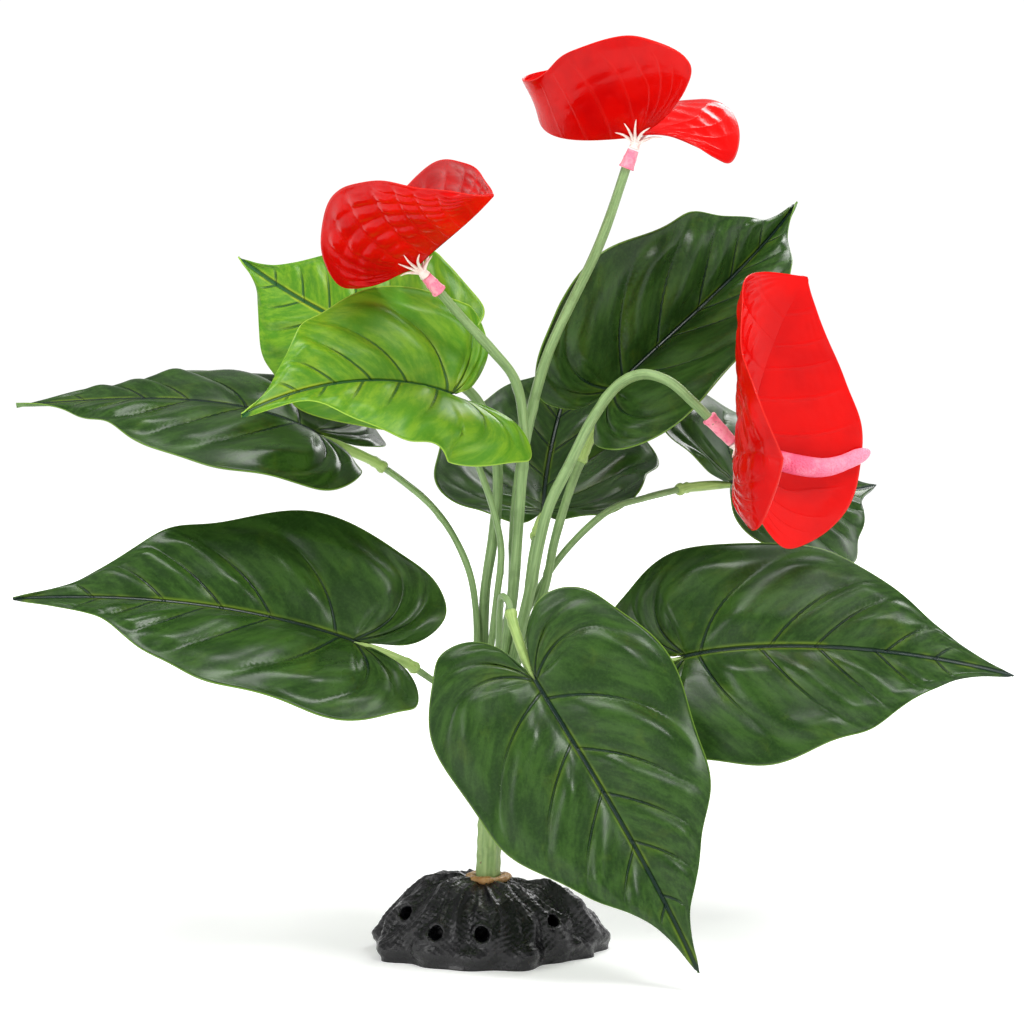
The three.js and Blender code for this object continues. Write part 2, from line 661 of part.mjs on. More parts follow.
function closed(geometry, size) {
  const position = geometry.attributes.position;
  const points = [];
  const map = [];
  for (let k = 0; k < position.count; k += 1) {
    const point = new THREE.Vector3().fromBufferAttribute(position, k);
    const found = points.findIndex((p) => p.distanceTo(point) < size);
    map.push(found >= 0 ? found : points.push(point) - 1);
  }
  const faces = [];
  for (let k = 0; k < geometry.index.count; k += 3) {
    const face = [0, 1, 2].map((n) => map[geometry.index.getX(k + n)]);
    if (new Set(face).size === 3) faces.push(face);
  }
  return geometryOf(points, faces);
}

const ring = closed(glueRing(0), 1e-3);
add('adhesive', ring, GLUE);

const socketHole = sweep(TRUNK_LINE, () => TRUNK_DIAMETER / 2 + 0.6 + CLEARANCE, 16, 20);
const socketFloor = rod(
  TRUNK_FOOT.clone().add(new THREE.Vector3(0, 0, -CLEARANCE)),
  TRUNK_FOOT.clone().add(new THREE.Vector3(0, 0, 2)),
  TRUNK_DIAMETER / 2 + 0.6 + CLEARANCE,
  16,
);
const glueSeat = closed(glueRing(CLEARANCE), 1e-3);
const rock = cut(buildRock(), [socketHole, socketFloor, glueSeat, ...PORES.map(pore)]);
add('base_rock', rock, RESIN);

export default group;
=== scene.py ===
"""An artificial anthurium: moulded plastic leaves, red spathes and bent stems on a black resin rock.

Shapes are worked out in millimetres, in the CAD model's frame, and become metres when a mesh is made.
"""

import math

import bmesh
import bpy
import numpy as np
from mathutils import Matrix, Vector


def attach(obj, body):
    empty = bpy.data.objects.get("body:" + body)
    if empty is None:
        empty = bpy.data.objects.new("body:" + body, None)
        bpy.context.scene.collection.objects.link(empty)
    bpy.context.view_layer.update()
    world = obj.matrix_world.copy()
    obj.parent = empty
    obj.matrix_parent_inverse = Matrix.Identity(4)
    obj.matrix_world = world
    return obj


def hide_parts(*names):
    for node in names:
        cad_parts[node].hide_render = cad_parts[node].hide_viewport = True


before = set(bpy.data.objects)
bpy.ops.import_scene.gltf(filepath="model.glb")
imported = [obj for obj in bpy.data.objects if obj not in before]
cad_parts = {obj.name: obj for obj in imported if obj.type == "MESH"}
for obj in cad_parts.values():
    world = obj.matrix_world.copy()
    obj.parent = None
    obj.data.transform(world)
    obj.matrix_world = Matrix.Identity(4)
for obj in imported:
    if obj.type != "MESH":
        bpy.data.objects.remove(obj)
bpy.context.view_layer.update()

MM = 0.001
HEAD_CENTRE = (3, 0, 92)
OUTER_SEAT, INNER_SEAT = 7.4, 3.3
LEAF_WIDTH, GREEN_LEAF_WIDTH, SPATHE_WIDTH = 97, 82, 95
SHEET_THICKNESS = 0.8
CLEARANCE = 0.3
RIB_RADIUS, RIB_DROP = 1.1, 0.7
PLUG_LENGTH = 3.6
SOCKET_RADIUS = 2.0
FLOWER_STEM_RADIUS = 2.0
FERRULE_RADIUS, FERRULE_TAPER = 2.9, 0.7
FINGERS, FINGER_REACH, FINGER_RADIUS, FINGER_LIFT = 8, 10, 0.72, 1.05
SPADIX_RADIUS, SPADIX_LENGTH = 4, 50
STALK_RADIUS, HEAD_RADIUS = 4.7, 11.2
LOBE_ARC = 30
UV_LENGTH = 100


# ---- small geometry helpers ----
def unit(v):
    return v / np.maximum(np.linalg.norm(v, axis=-1, keepdims=True), 1e-12)


def dot(a, b):
    return (a * b).sum(-1, keepdims=True)


def smooth(x, low, high):
    """0 below low, 1 above high, and an easy step between them."""
    t = np.clip((np.asarray(x, float) - low) / (high - low), 0, 1)
    return t * t * (3 - 2 * t)


def angles(count):
    return np.arange(count) * 2 * math.pi / count


class Path:
    """A curve through dense samples, read by the share of its length."""

    def __init__(self, samples):
        self.samples = np.asarray(samples, float)
        steps = np.linalg.norm(np.diff(self.samples, axis=0), axis=1)
        self.along = np.concatenate([[0], np.cumsum(steps)])
        self.length = self.along[-1]
        self.share = self.along / self.length
        self.tangents = unit(np.gradient(self.samples, self.along, axis=0))

    def _read(self, table, share):
        share = np.clip(share, 0, 1)
        return np.stack([np.interp(share, self.share, table[:, k]) for k in range(table.shape[1])], -1)

    def at(self, share):
        return self._read(self.samples, share)

    def tangent(self, share):
        return unit(self._read(self.tangents, share))


def bezier(points, count=400):
    """A cubic through four control points."""
    p = np.array(points, float)
    t = np.linspace(0, 1, count)[:, None]
    shares = (1 - t) ** 3, 3 * t * (1 - t) ** 2, 3 * t * t * (1 - t), t**3
    return Path(sum(share * point for share, point in zip(shares, p)))


def spline(points, count=40):
    """A centripetal Catmull-Rom curve through the points, the same as the CAD model's."""
    p = [np.array(q, float) for q in points]
    p = [2 * p[0] - p[1]] + p + [2 * p[-1] - p[-2]]
    out = []
    for k in range(1, len(p) - 2):
        p0, p1, p2, p3 = p[k - 1 : k + 3]
        pairs = (p0, p1), (p1, p2), (p2, p3)
        d0, d1, d2 = (max(np.linalg.norm(b - a), 1e-6) ** 0.5 for a, b in pairs)
        m1 = ((p1 - p0) / d0 - (p2 - p0) / (d0 + d1) + (p2 - p1) / d1) * d1
        m2 = ((p2 - p1) / d1 - (p3 - p1) / (d1 + d2) + (p3 - p2) / d2) * d1
        t = np.linspace(0, 1, count, endpoint=k == len(p) - 3)[:, None]
        ease = 2 * t**3 - 3 * t**2
        out.append((ease + 1) * p1 + (t**3 - 2 * t**2 + t) * m1 - ease * p2 + (t**3 - t**2) * m2)
    return Path(np.concatenate(out))


def make_piece(name, points, faces, materials, uvs=None, face_material=None):
    """A closed mesh in metres that rides on the root body and replaces the CAD node of the same name."""
    mesh = bpy.data.meshes.new(name)
    mesh.from_pydata((np.asarray(points) * MM).tolist(), [], [list(map(int, f)) for f in faces])
    for layer, values in (uvs or {}).items():
        uv = mesh.uv_layers.new(name=layer)
        uv.data.foreach_set("uv", np.asarray(values, np.float32).ravel())
    for material in materials:
        mesh.materials.append(material)
    if face_material is not None:
        mesh.polygons.foreach_set("material_index", np.asarray(face_material, np.int32))
    work = bmesh.new()
    work.from_mesh(mesh)
    bmesh.ops.remove_doubles(work, verts=work.verts, dist=2e-6)
    bmesh.ops.dissolve_degenerate(work, edges=work.edges, dist=1e-7)
    bmesh.ops.recalc_face_normals(work, faces=work.faces)
    work.to_mesh(mesh)
    work.free()
    mesh.polygons.foreach_set("use_smooth", np.ones(len(mesh.polygons), bool))
    piece = bpy.data.objects.new(name, mesh)
    bpy.context.scene.collection.objects.link(piece)
    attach(piece, "root")
    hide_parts(name)


def sweep(path, radius, sides, steps):
    """Points, faces and uvs of a closed bar along a path. radius(share, angle) is in mm."""
    share = np.linspace(0, 1, steps + 1)
    centre, tangent = path.at(share), path.tangent(share)
    normal = np.zeros_like(centre)
    normal[0] = unit(np.cross(tangent[0], [0.3, 1, 0.2]))
    for i in range(1, steps + 1):
        carried = normal[i - 1] - tangent[i] * (normal[i - 1] @ tangent[i])
        normal[i] = carried / np.linalg.norm(carried)
    binormal = np.cross(tangent, normal)
    angle = np.linspace(0, 2 * math.pi, sides, endpoint=False)
    grid_share, grid_angle = np.meshgrid(share, angle, indexing="ij")
    r = radius(grid_share, grid_angle)
    ring = centre[:, None] + r[..., None] * (
        np.cos(grid_angle)[..., None] * normal[:, None] + np.sin(grid_angle)[..., None] * binormal[:, None]
    )
    points = np.concatenate([ring.reshape(-1, 3), centre[:1], centre[-1:]])
    i, k = np.meshgrid(np.arange(steps), np.arange(sides), indexing="ij")
    a = i * sides + k
    b = i * sides + (k + 1) % sides
    quads = np.stack([a, b, b + sides, a + sides], -1).reshape(-1, 4)
    u = np.stack([k, k + 1, k + 1, k], -1).reshape(-1, 4) / sides
    v = np.stack([i, i, i + 1, i + 1], -1).reshape(-1, 4) * (path.length / steps / UV_LENGTH)
    uv = np.stack([u, v], -1).reshape(-1, 2)
    faces = quads.tolist()
    head, tail = len(points) - 2, len(points) - 1
    caps = []
    for k in range(sides):
        n = (k + 1) % sides
        faces += [[head, n, k], [tail, steps * sides + k, steps * sides + n]]
        caps += [[k / sides, 0]] * 3 + [[k / sides, path.length / UV_LENGTH]] * 3
    return points, faces, np.concatenate([uv, caps])


def joined(parts):
    """Several swept solids as one piece's points, faces and uvs."""
    points, faces, uvs, base = [], [], [], 0
    for p, f, uv in parts:
        points.append(p)
        faces += [[i + base for i in face] for face in f]
        uvs.append(uv)
        base += len(p)
    return np.concatenate(points), faces, np.concatenate(uvs)


# ---- node materials ----
class Look:
    """Builds one procedural material. A socket or a number may be given for any input."""

    def __init__(self, name, **surface):
        self.material = bpy.data.materials.new(name)
        self.material.use_nodes = True
        self.tree = self.material.node_tree
        self.shader = self.tree.nodes["Principled BSDF"]
        for key, value in surface.items():
            self.put(self.shader.inputs[key.replace("_", " ")], value)

    def put(self, socket, value):
        if isinstance(value, bpy.types.NodeSocket):
            self.tree.links.new(value, socket)
        elif socket.type == "RGBA":
            socket.default_value = (*value, 1.0)
        else:
            socket.default_value = value

    def node(self, kind, inputs=(), out=0, **props):
        made = self.tree.nodes.new("ShaderNode" + kind)
        for key, value in props.items():
            setattr(made, key, value)
        for key, value in dict(inputs).items():
            self.put(made.inputs[key], value)
        return made.outputs[out]

    def math(self, operation, a, b=0.0):
        return self.node("Math", {0: a, 1: b}, operation=operation)

    def band(self, value, low, high, at_low=0.0, at_high=1.0):
        inputs = {"Value": value, "From Min": low, "From Max": high, "To Min": at_low, "To Max": at_high}
        return self.node("MapRange", inputs, interpolation_type="SMOOTHSTEP")

    def noise(self, vector, scale, detail=3.0, roughness=0.55, distortion=0.0):
        inputs = {"Vector": vector, "Scale": scale, "Detail": detail, "Roughness": roughness}
        return self.node("TexNoise", {**inputs, "Distortion": distortion})

    def mix(self, factor, a, b):
        made = self.tree.nodes.new("ShaderNodeMix")
        made.data_type = "RGBA"
        self.put(made.inputs[0], factor)
        self.put(made.inputs[6], a)
        self.put(made.inputs[7], b)
        return made.outputs[2]

    def place(self):
        return self.node("TexCoord", out=3)

    def uv(self, layer):
        split = self.tree.nodes.new("ShaderNodeSeparateXYZ")
        self.put(split.inputs[0], self.node("UVMap", uv_map=layer))
        return split.outputs[0], split.outputs[1]

    def vector(self, x, y):
        return self.node("CombineXYZ", {0: x, 1: y})

    def times(self, a, b):
        return self.math("MULTIPLY", a, b)

    def plus(self, a, b):
        return self.math("ADD", a, b)

    def minus(self, a, b):
        return self.math("SUBTRACT", a, b)

    def to_vein(self, phase):
        """How far a point is from the nearest side vein, in gaps between veins."""
        return self.math("ABSOLUTE", self.minus(self.math("FRACT", self.plus(phase, 0.5)), 0.5))

    def finish(self, color, roughness, height, distance):
        self.put(self.shader.inputs["Base Color"], color)
        self.put(self.shader.inputs["Roughness"], roughness)
        bump = self.node("Bump", {"Height": height, "Distance": distance, "Strength": 1.0})
        self.put(self.shader.inputs["Normal"], bump)
        return self.material


def leaf_look(name, deep, fresh, vein, streak, rim, speckle, gloss, specular, mottle):
    """Moulded leaf: cloudy green with yellowish mottling, painted shade in the sunken veins and midrib, and a
    thin pale rim.
    """
    look = Look(name, Specular_IOR_Level=specular, Coat_Weight=0.03, Coat_Roughness=0.2)
    phase, share = look.uv("veins")
    gap, reach = look.uv("sizes")
    place = look.place()
    to_vein = look.times(look.times(look.to_vein(phase), gap), UV_LENGTH)
    to_rib = look.times(reach, UV_LENGTH)
    fade = look.band(share, 0.3, 0.72, 1.0, 0.0)
    side_line = look.times(look.band(to_vein, 0.2, 1.0, 1.0, 0.0), fade)
    side_halo = look.times(look.band(to_vein, 0.5, 3.2, 1.0, 0.0), fade)
    rib_line = look.band(to_rib, 0.5, 1.25, 1.0, 0.0)
    rib_halo = look.times(look.band(to_rib, 1.0, 2.4, 1.0, 0.0), look.band(share, 0.0, 0.02))
    clouds = look.noise(look.vector(look.times(phase, 2.4), look.times(share, 2.2)), 1.7, 5.0, 0.65)
    blotch = look.noise(place, 70.0, 4.0, 0.6, 0.4)
    fine = look.noise(place, 900.0, 3.0)

    color = look.mix(look.band(clouds, 0.38, 0.68), deep, fresh)
    color = look.mix(look.times(look.band(blotch, 0.56, 0.78), mottle), color, streak)
    color = look.mix(look.times(look.band(fine, 0.4, 0.75), 0.18), color, speckle)
    flank = look.times(look.band(blotch, 0.35, 0.6), 0.35)
    color = look.mix(look.times(side_halo, flank), color, streak)
    # painted shade: the sunken side veins are darkened to the vein colour
    color = look.mix(look.times(side_line, 0.85), color, vein)
    color = look.mix(look.times(rib_halo, look.band(look.noise(place, 45.0), 0.42, 0.6)), color, streak)
    # painted shade: the sunken midrib is darkened to the vein colour
    color = look.mix(look.times(rib_line, 0.92), color, vein)
    color = look.mix(look.band(share, 0.985, 0.999), color, rim)
    roughness = look.band(look.noise(place, 38.0, 3.0), 0.3, 0.7, gloss - 0.05, gloss + 0.13)
    height = look.plus(look.times(fine, 0.03), look.times(look.noise(place, 160.0, 2.0), 0.12))
    height = look.minus(look.minus(height, look.times(side_line, 0.9)), look.times(rib_line, 0.9))
    return look.finish(color, roughness, height, 0.0007)


def underside_look(name, base, pale, vein):
    """Satin back of a leaf, with raised veins."""
    look = Look(name, Specular_IOR_Level=0.35)
    phase, share = look.uv("veins")
    gap, reach = look.uv("sizes")
    place = look.place()
    to_vein = look.times(look.times(look.to_vein(phase), gap), UV_LENGTH)
    line = look.times(look.band(to_vein, 0.3, 1.0, 1.0, 0.0), look.band(share, 0.5, 0.85, 1.0, 0.0))
    rib = look.band(look.times(reach, UV_LENGTH), 0.8, 1.8, 1.0, 0.0)
    blotch = look.noise(place, 60.0, 4.0, 0.6)
    color = look.mix(look.band(blotch, 0.35, 0.65), base, pale)
    raised = look.math("MAXIMUM", line, rib)
    color = look.mix(look.times(raised, 0.7), color, vein)
    roughness = look.band(look.noise(place, 50.0), 0.3, 0.7, 0.42, 0.58)
    height = look.plus(look.times(look.noise(place, 400.0, 4.0), 0.3), raised)
    return look.finish(color, roughness, height, 0.0006)


def spathe_look(name, red, deep, pale, vein_highlight_strength):
    """Glossy red plastic, cloudy in tone, with a rim paled as painted through-light and vein lines paled as
    painted highlights.
    """
    look = Look(name, Specular_IOR_Level=0.08, Coat_Weight=0.12, Coat_Roughness=0.04)
    phase, share = look.uv("veins")
    place = look.place()
    line = look.band(look.to_vein(phase), 0.0, 0.09, 1.0, 0.0)
    line = look.times(line, look.band(share, 0.75, 0.95, 1.0, 0.0))
    cloud = look.noise(place, 55.0, 3.0, 0.5)
    color = look.mix(look.band(cloud, 0.35, 0.7), red, deep)
    # painted highlight: the vein lines are paled towards the pale colour
    color = look.mix(look.times(line, vein_highlight_strength), color, pale)
    # painted light: the rim is paled as if lit through the thin edge
    color = look.mix(look.times(look.band(share, 0.98, 0.999), 0.6), color, pale)
    roughness = look.band(look.noise(place, 80.0), 0.3, 0.7, 0.16, 0.27)
    height = look.plus(look.times(look.noise(place, 150.0, 2.0), 0.5), look.times(line, 0.25))
    height = look.plus(height, look.times(look.noise(place, 1200.0, 2.0), 0.04))
    return look.finish(color, roughness, height, 0.0005)


def stem_look(name, base, pale, dark, speck=0.15):
    """Satin plastic stem: long streaks, a pale mould line on each side, and a few brown specks."""
    look = Look(name, Specular_IOR_Level=0.4)
    around, along = look.uv("bar")
    place = look.place()
    streak = look.noise(look.vector(look.times(around, 9.0), look.times(along, 3.0)), 1.5, 4.0, 0.6)
    blotch = look.noise(place, 120.0, 4.0, 0.6)
    seam = look.math("ABSOLUTE", look.minus(look.math("FRACT", look.times(around, 2.0)), 0.5))
    seam = look.band(seam, 0.42, 0.48)
    color = look.mix(look.band(streak, 0.35, 0.65), base, pale)
    color = look.mix(look.times(look.band(blotch, 0.5, 0.7), 0.4), color, dark)
    color = look.mix(look.times(seam, 0.5), color, pale)
    spots = look.times(look.band(look.noise(place, 420.0, 2.0), 0.68, 0.74), speck)
    color = look.mix(spots, color, (0.16, 0.08, 0.03))
    roughness = look.band(look.noise(place, 200.0), 0.3, 0.7, 0.38, 0.55)
    height = look.plus(look.times(streak, 0.6), look.times(look.noise(place, 900.0), 0.35))
    return look.finish(color, roughness, height, 0.0004)


def plain_look(name, base, pale, dark, scale, gloss, bump, **surface):
    """Mottled plastic or resin, with a grain at the given scale."""
    look = Look(name, **surface)
    place = look.place()
    cloud = look.noise(place, scale, 4.0, 0.6)
    color = look.mix(look.band(cloud, 0.35, 0.65), base, pale)
    spots = look.band(look.noise(place, scale * 3.1, 3.0), 0.5, 0.7)
    color = look.mix(look.times(spots, 0.6), color, dark)
    roughness = look.band(look.noise(place, scale * 1.7), 0.3, 0.7, gloss - 0.06, gloss + 0.12)
    height = look.plus(look.noise(place, scale * 5.0, 5.0, 0.6), look.times(cloud, 0.5))
    return look.finish(color, roughness, height, bump)


def spadix_look(name, foot, tip, pale):
    """Pink plastic that pales towards the tip, with a skin of tiny nubs."""
    look = Look(name, Specular_IOR_Level=0.4)
    _, along = look.uv("bar")
    place = look.place()
    share = look.times(along, UV_LENGTH / SPADIX_LENGTH)
    color = look.mix(look.band(share, 0.05, 0.95), foot, tip)
    blotch = look.band(look.noise(place, 180.0, 4.0), 0.45, 0.7)
    color = look.mix(look.times(blotch, 0.4), color, pale)
    cells = look.node("TexVoronoi", {"Vector": place, "Scale": 1100.0}, feature="F1")
    height = look.minus(1.0, cells)
    return look.finish(color, look.band(cells, 0.0, 0.6, 0.34, 0.55), height, 0.0005)


# The third colour of each leaf top is painted shade, laid in the sunken side veins and midrib.
DARK_TOP = leaf_look(
    "dark_leaf_top", (0.012, 0.038, 0.005), (0.032, 0.082, 0.012), (0.005, 0.017, 0.014), (0.1, 0.17, 0.012),
    (0.13, 0.24, 0.03), (0.055, 0.13, 0.025), gloss=0.28, specular=0.22, mottle=0.25,
)
DARK_UNDER = underside_look("dark_leaf_under", (0.06, 0.13, 0.03), (0.1, 0.2, 0.05), (0.13, 0.24, 0.07))
GREEN_TOP = leaf_look(
    "light_leaf_top", (0.065, 0.21, 0.008), (0.15, 0.31, 0.014), (0.008, 0.07, 0.02), (0.29, 0.4, 0.02),
    (0.3, 0.5, 0.05), (0.15, 0.32, 0.025), gloss=0.36, specular=0.2, mottle=0.35,
)
GREEN_UNDER = underside_look("light_leaf_under", (0.26, 0.45, 0.02), (0.36, 0.55, 0.03), (0.2, 0.38, 0.03))
# The pale colour of each spathe is painted light: a glow at the rim and painted highlights along the veins;
# the last number sets how strongly those vein highlights are painted.
RED_FACE = spathe_look("spathe_face", (0.66, 0.002, 0.001), (0.56, 0.001, 0.001), (0.7, 0.03, 0.02), 0.0)
RED_BACK = spathe_look("spathe_back", (0.6, 0.002, 0.001), (0.47, 0.001, 0.001), (0.68, 0.03, 0.02), 0.1)
STEM = stem_look("stem_green", (0.15, 0.25, 0.085), (0.25, 0.38, 0.15), (0.1, 0.17, 0.05))
SOCKET = stem_look("socket_green", (0.26, 0.4, 0.1), (0.4, 0.55, 0.17), (0.16, 0.27, 0.06), 0.3)
STALK = stem_look("stalk_green", (0.2, 0.32, 0.1), (0.33, 0.45, 0.17), (0.12, 0.2, 0.06), 0.7)
FERRULE = plain_look(
    "ferrule_pink", (0.86, 0.2, 0.3), (0.9, 0.36, 0.42), (0.72, 0.12, 0.22), 300.0, 0.42, 0.0002,
    Specular_IOR_Level=0.4,
)
CALYX = plain_look(
    "calyx_ivory", (0.82, 0.66, 0.58), (0.9, 0.8, 0.74), (0.78, 0.42, 0.38), 260.0, 0.45, 0.0002,
    Specular_IOR_Level=0.4,
)
SPADIX = spadix_look("spadix_pink", (0.84, 0.06, 0.16), (0.9, 0.26, 0.38), (0.93, 0.42, 0.52))
RESIN = plain_look(
    "black_resin", (0.002, 0.002, 0.003), (0.004, 0.004, 0.005), (0.001, 0.001, 0.001), 90.0, 0.22, 0.0006,
    Specular_IOR_Level=0.38, Coat_Weight=0.2, Coat_Roughness=0.1,
)
GLUE = plain_look(
    "amber_glue", (0.42, 0.2, 0.06), (0.55, 0.32, 0.12), (0.2, 0.09, 0.03), 220.0, 0.22, 0.0005,
    Specular_IOR_Level=0.5,
)


# ---- heart-shaped blades ----
HEART = [
    (-0.05, 0.035), (-0.14, 0.13), (-0.205, 0.34), (-0.2, 0.6), (-0.1, 0.84), (0.04, 0.97), (0.2, 1),
    (0.37, 0.93), (0.53, 0.75), (0.66, 0.5), (0.76, 0.28), (0.83, 0.145), (0.9, 0.07), (0.96, 0.03), (1, 0),
]
SPATHE_HEART = [
    (-0.08, 0.05), (-0.27, 0.2), (-0.42, 0.41), (-0.48, 0.6), (-0.37, 0.84), (-0.14, 0.99), (0.08, 1),
    (0.3, 0.91), (0.54, 0.69), (0.74, 0.42), (0.87, 0.22), (0.95, 0.08), (1, 0),
]
FAN_SHARE = 0.36
LEAF_VEINS = (0.1, 0.23, 0.4, 0.53, 0.64, 0.75, 0.86)
SPATHE_VEINS = (0.07, 0.14, 0.21, 0.28, 0.36, 0.46, 0.56, 0.66, 0.76, 0.86)
VEIN_BEND = 0.17
VEIN_LEAN = 0.1


def arc(distance, angle, length):
    """How far along and up a point is, on an arc that turns by angle over its length."""
    turn = angle * distance / length
    safe = np.where(np.abs(turn) < 1e-4, 1e-4, turn)
    radius = distance / safe
    flat = np.abs(turn) < 1e-4
    return np.where(flat, distance, radius * np.sin(safe)), np.where(flat, 0, radius * (1 - np.cos(safe)))


class Blade:
    """A surface over a midrib: u runs along it and v across one half (-1 left, 1 right), in mm."""

    def __init__(self, midrib, face, left, right, width, **_):
        self.path = bezier(midrib)
        self.length = self.path.length
        self.half_width = width / 2
        self.face = np.array(face, float)
        self.halves = {-1: left, 1: right}

    def frame_at(self, t):
        tangent = self.path.tangent(t)
        face = unit(self.face - tangent * dot(self.face, tangent))
        return tangent, face

    def at(self, u, v, side):
        half = self.halves[side]
        v = v * half.get("span", 1) * (1 + half.get("flare", 0) * smooth(u / self.length, 0.45, 0.85))
        t = np.clip(u / self.length, 0, 1)
        tangent, face = self.frame_at(t)
        across = np.cross(tangent, face) * side
        point = self.path.at(t)
        behind = np.maximum(-u, 0) * half.get("reach", 1)
        back, lift = arc(behind, math.radians(half.get("lobe", 0)), LOBE_ARC)
        point = point - tangent * back[..., None] + face * lift[..., None]
        fold = np.radians(half["fold"] + half.get("turn", 0) * t)
        out, up = arc(v, math.radians(half["curl"]), self.half_width)
        crests = np.sin(u / self.length * 9 + half.get("phase", 0))
        wave = half.get("wave", 0) * (v / self.half_width) ** 2 * crests
        point = point + across * (out * np.cos(fold) - up * np.sin(fold))[..., None]
        return point + face * (out * np.sin(fold) + up * np.cos(fold) + wave)[..., None]


def blade_piece(name, spec, outline, veins, relief, materials, rows=132, columns=34):
    """A thin closed sheet whose side veins, bulges between them and rippled rim are in the mesh."""
    blade = Blade(**spec)
    edge_path = spline([(x, y, 0) for x, y in outline])
    along = np.linspace(0, 1, rows + 1)
    edge = edge_path.at(along)
    foot = np.maximum(0, (along - FAN_SHARE) / (1 - FAN_SHARE)) ** 1.1
    share = np.linspace(0, 1, columns + 1)
    sheets, uv_veins, uv_sizes, heights = [], [], [], []
    rippled = 1.0 if relief is leaf_relief else 0.3
    for side in (-1, 1):
        a, s = np.meshgrid(along, share, indexing="ij")
        f, ex, ey = foot[:, None], edge[:, :1], np.maximum(edge[:, 1:2], 0)
        bow = 0.1 * s * (1 - s) * (1 - f) * smooth(f, 0, 0.05)
        u = blade.length * (f + (ex - f) * s + bow)
        ripple = 0.03 * rippled * np.sin(a * 33 + 3 * spec["seed"] + side) * smooth(s, 0.5, 1)
        v = blade.half_width * ey * s * (1 + ripple)
        points = blade.at(u, v, side)
        shift = 0.012 * side * math.sin(3 * spec["seed"])
        bent = a - (VEIN_LEAN * s + VEIN_BEND * s**2.2) * (1 - a) ** 0.6 + shift
        marks = [m + 0.012 * math.sin(7 * m * (spec["seed"] + 1) + side) for m in veins]
        phase = np.interp(bent, [-0.3, *marks, 1.2], [-0.9, *range(len(marks)), len(marks) + 0.9])
        step = np.linalg.norm(np.gradient(points, axis=0), axis=-1)
        turn = np.abs(np.gradient(phase, axis=0))
        gap = np.clip(step / np.maximum(turn, 1e-4), 0, 60)
        x = phase - np.floor(phase)
        height = relief(x, phase, s, a, v, gap, side, spec["seed"])
        sheets.append(points)
        heights.append(height)
        uv_veins.append(np.stack([phase, s], -1))
        uv_sizes.append(np.stack([gap / UV_LENGTH, v / UV_LENGTH], -1))
    grid, height, veins_uv, sizes_uv = (
        np.concatenate([np.flip(left, 1), right], 1) for left, right in (sheets, heights, uv_veins, uv_sizes)
    )
    n = 2 * (columns + 1)

    # The two middle columns are the same line, so the quads between them are left out.
    kept_columns = np.array([k for k in range(n - 1) if k != columns])
    i, j = np.meshgrid(np.arange(rows), kept_columns, indexing="ij")
    quads = np.stack([i * n + j, i * n + j + 1, (i + 1) * n + j + 1, (i + 1) * n + j], -1).reshape(-1, 4)
    flat = grid.reshape(-1, 3)

    def normals(points):
        """Area-weighted normals, shared by points in the same place."""
        _, same = np.unique(flat.round(4), axis=0, return_inverse=True)
        same = same.ravel()
        total = np.zeros((same.max() + 1, 3))
        for a, b, c in ((0, 1, 2), (0, 2, 3)):
            p, q, r = (points[quads[:, k]] for k in (a, b, c))
            normal = np.cross(q - p, r - p)
            for k in (a, b, c):
                np.add.at(total, same[quads[:, k]], normal)
        return unit(total)[same]

    normal = normals(flat)
    # The grid's normals may point to either side. The relief always rises towards the face.
    face = blade.frame_at(np.array([0.5]))[1][0]
    flip = 1.0 if (normal @ face).mean() > 0 else -1.0
    middle = flat + normal * flip * height.reshape(-1, 1)
    normal = normals(middle) * flip
    thickness = SHEET_THICKNESS * (1 - 0.45 * smooth(veins_uv[..., 1].reshape(-1, 1), 0.9, 1.0))
    top, under = middle + normal * thickness / 2, middle - normal * thickness / 2
    count = len(flat)
    faces = np.concatenate([quads, quads[:, ::-1] + count])
    rim = []
    for j in (0, n - 1):
        k = np.arange(rows) * n + j
        rim.append(np.stack([k, k + n, k + n + count, k + count], -1))
    for k in (np.arange(0, columns), np.arange(columns + 1, n - 1)):
        rim.append(np.stack([k, k + 1, k + 1 + count, k + count], -1))
    rim = np.concatenate(rim)
    faces = np.concatenate([faces, rim])
    corners = faces.reshape(-1) % count
    uvs = {"veins": veins_uv.reshape(-1, 2)[corners], "sizes": sizes_uv.reshape(-1, 2)[corners]}
    slots = np.concatenate([np.zeros(len(quads)), np.ones(len(quads)), np.zeros(len(rim))])
    make_piece(name, np.concatenate([top, under]), faces, materials, uvs, slots)
    return blade


def leaf_relief(x, phase, s, a, v, gap, side, seed):
    """Quilted bulges between sunken side veins, a sunken midrib, and a smooth rippled rim."""
    pillow = np.sin(math.pi * x) ** 0.75 * (0.8 + 0.2 * np.cos(2 * math.pi * (x - 0.2)))
    body = smooth(v, 1.0, 13) * (1 - smooth(s, 0.72, 0.95)) * smooth(a, 0, 0.08) * (1 - smooth(a, 0.86, 1))
    size = np.clip(gap / 20, 0.25, 1.25)
    lumps = 1 + 0.25 * np.sin(s * 6 + np.floor(phase) * 2.3 + seed)
    height = 3.5 * body * size * pillow * lumps
    height -= 1.1 * np.exp(-((v / 1.7) ** 2)) * (1 - 0.8 * smooth(a, 0.4, 1))
    height += 1.3 * smooth(s, 0.6, 1) * np.sin(a * 24 + seed * 2 + side)
    return height


# How strongly each flower's left (-1) and right (1) halves are embossed.
SCALES = {0: {-1: 0.12, 1: 0.9}, 1: {-1: 1.0, 1: 1.5}, 2: {-1: 0.9, 1: 0.12}}


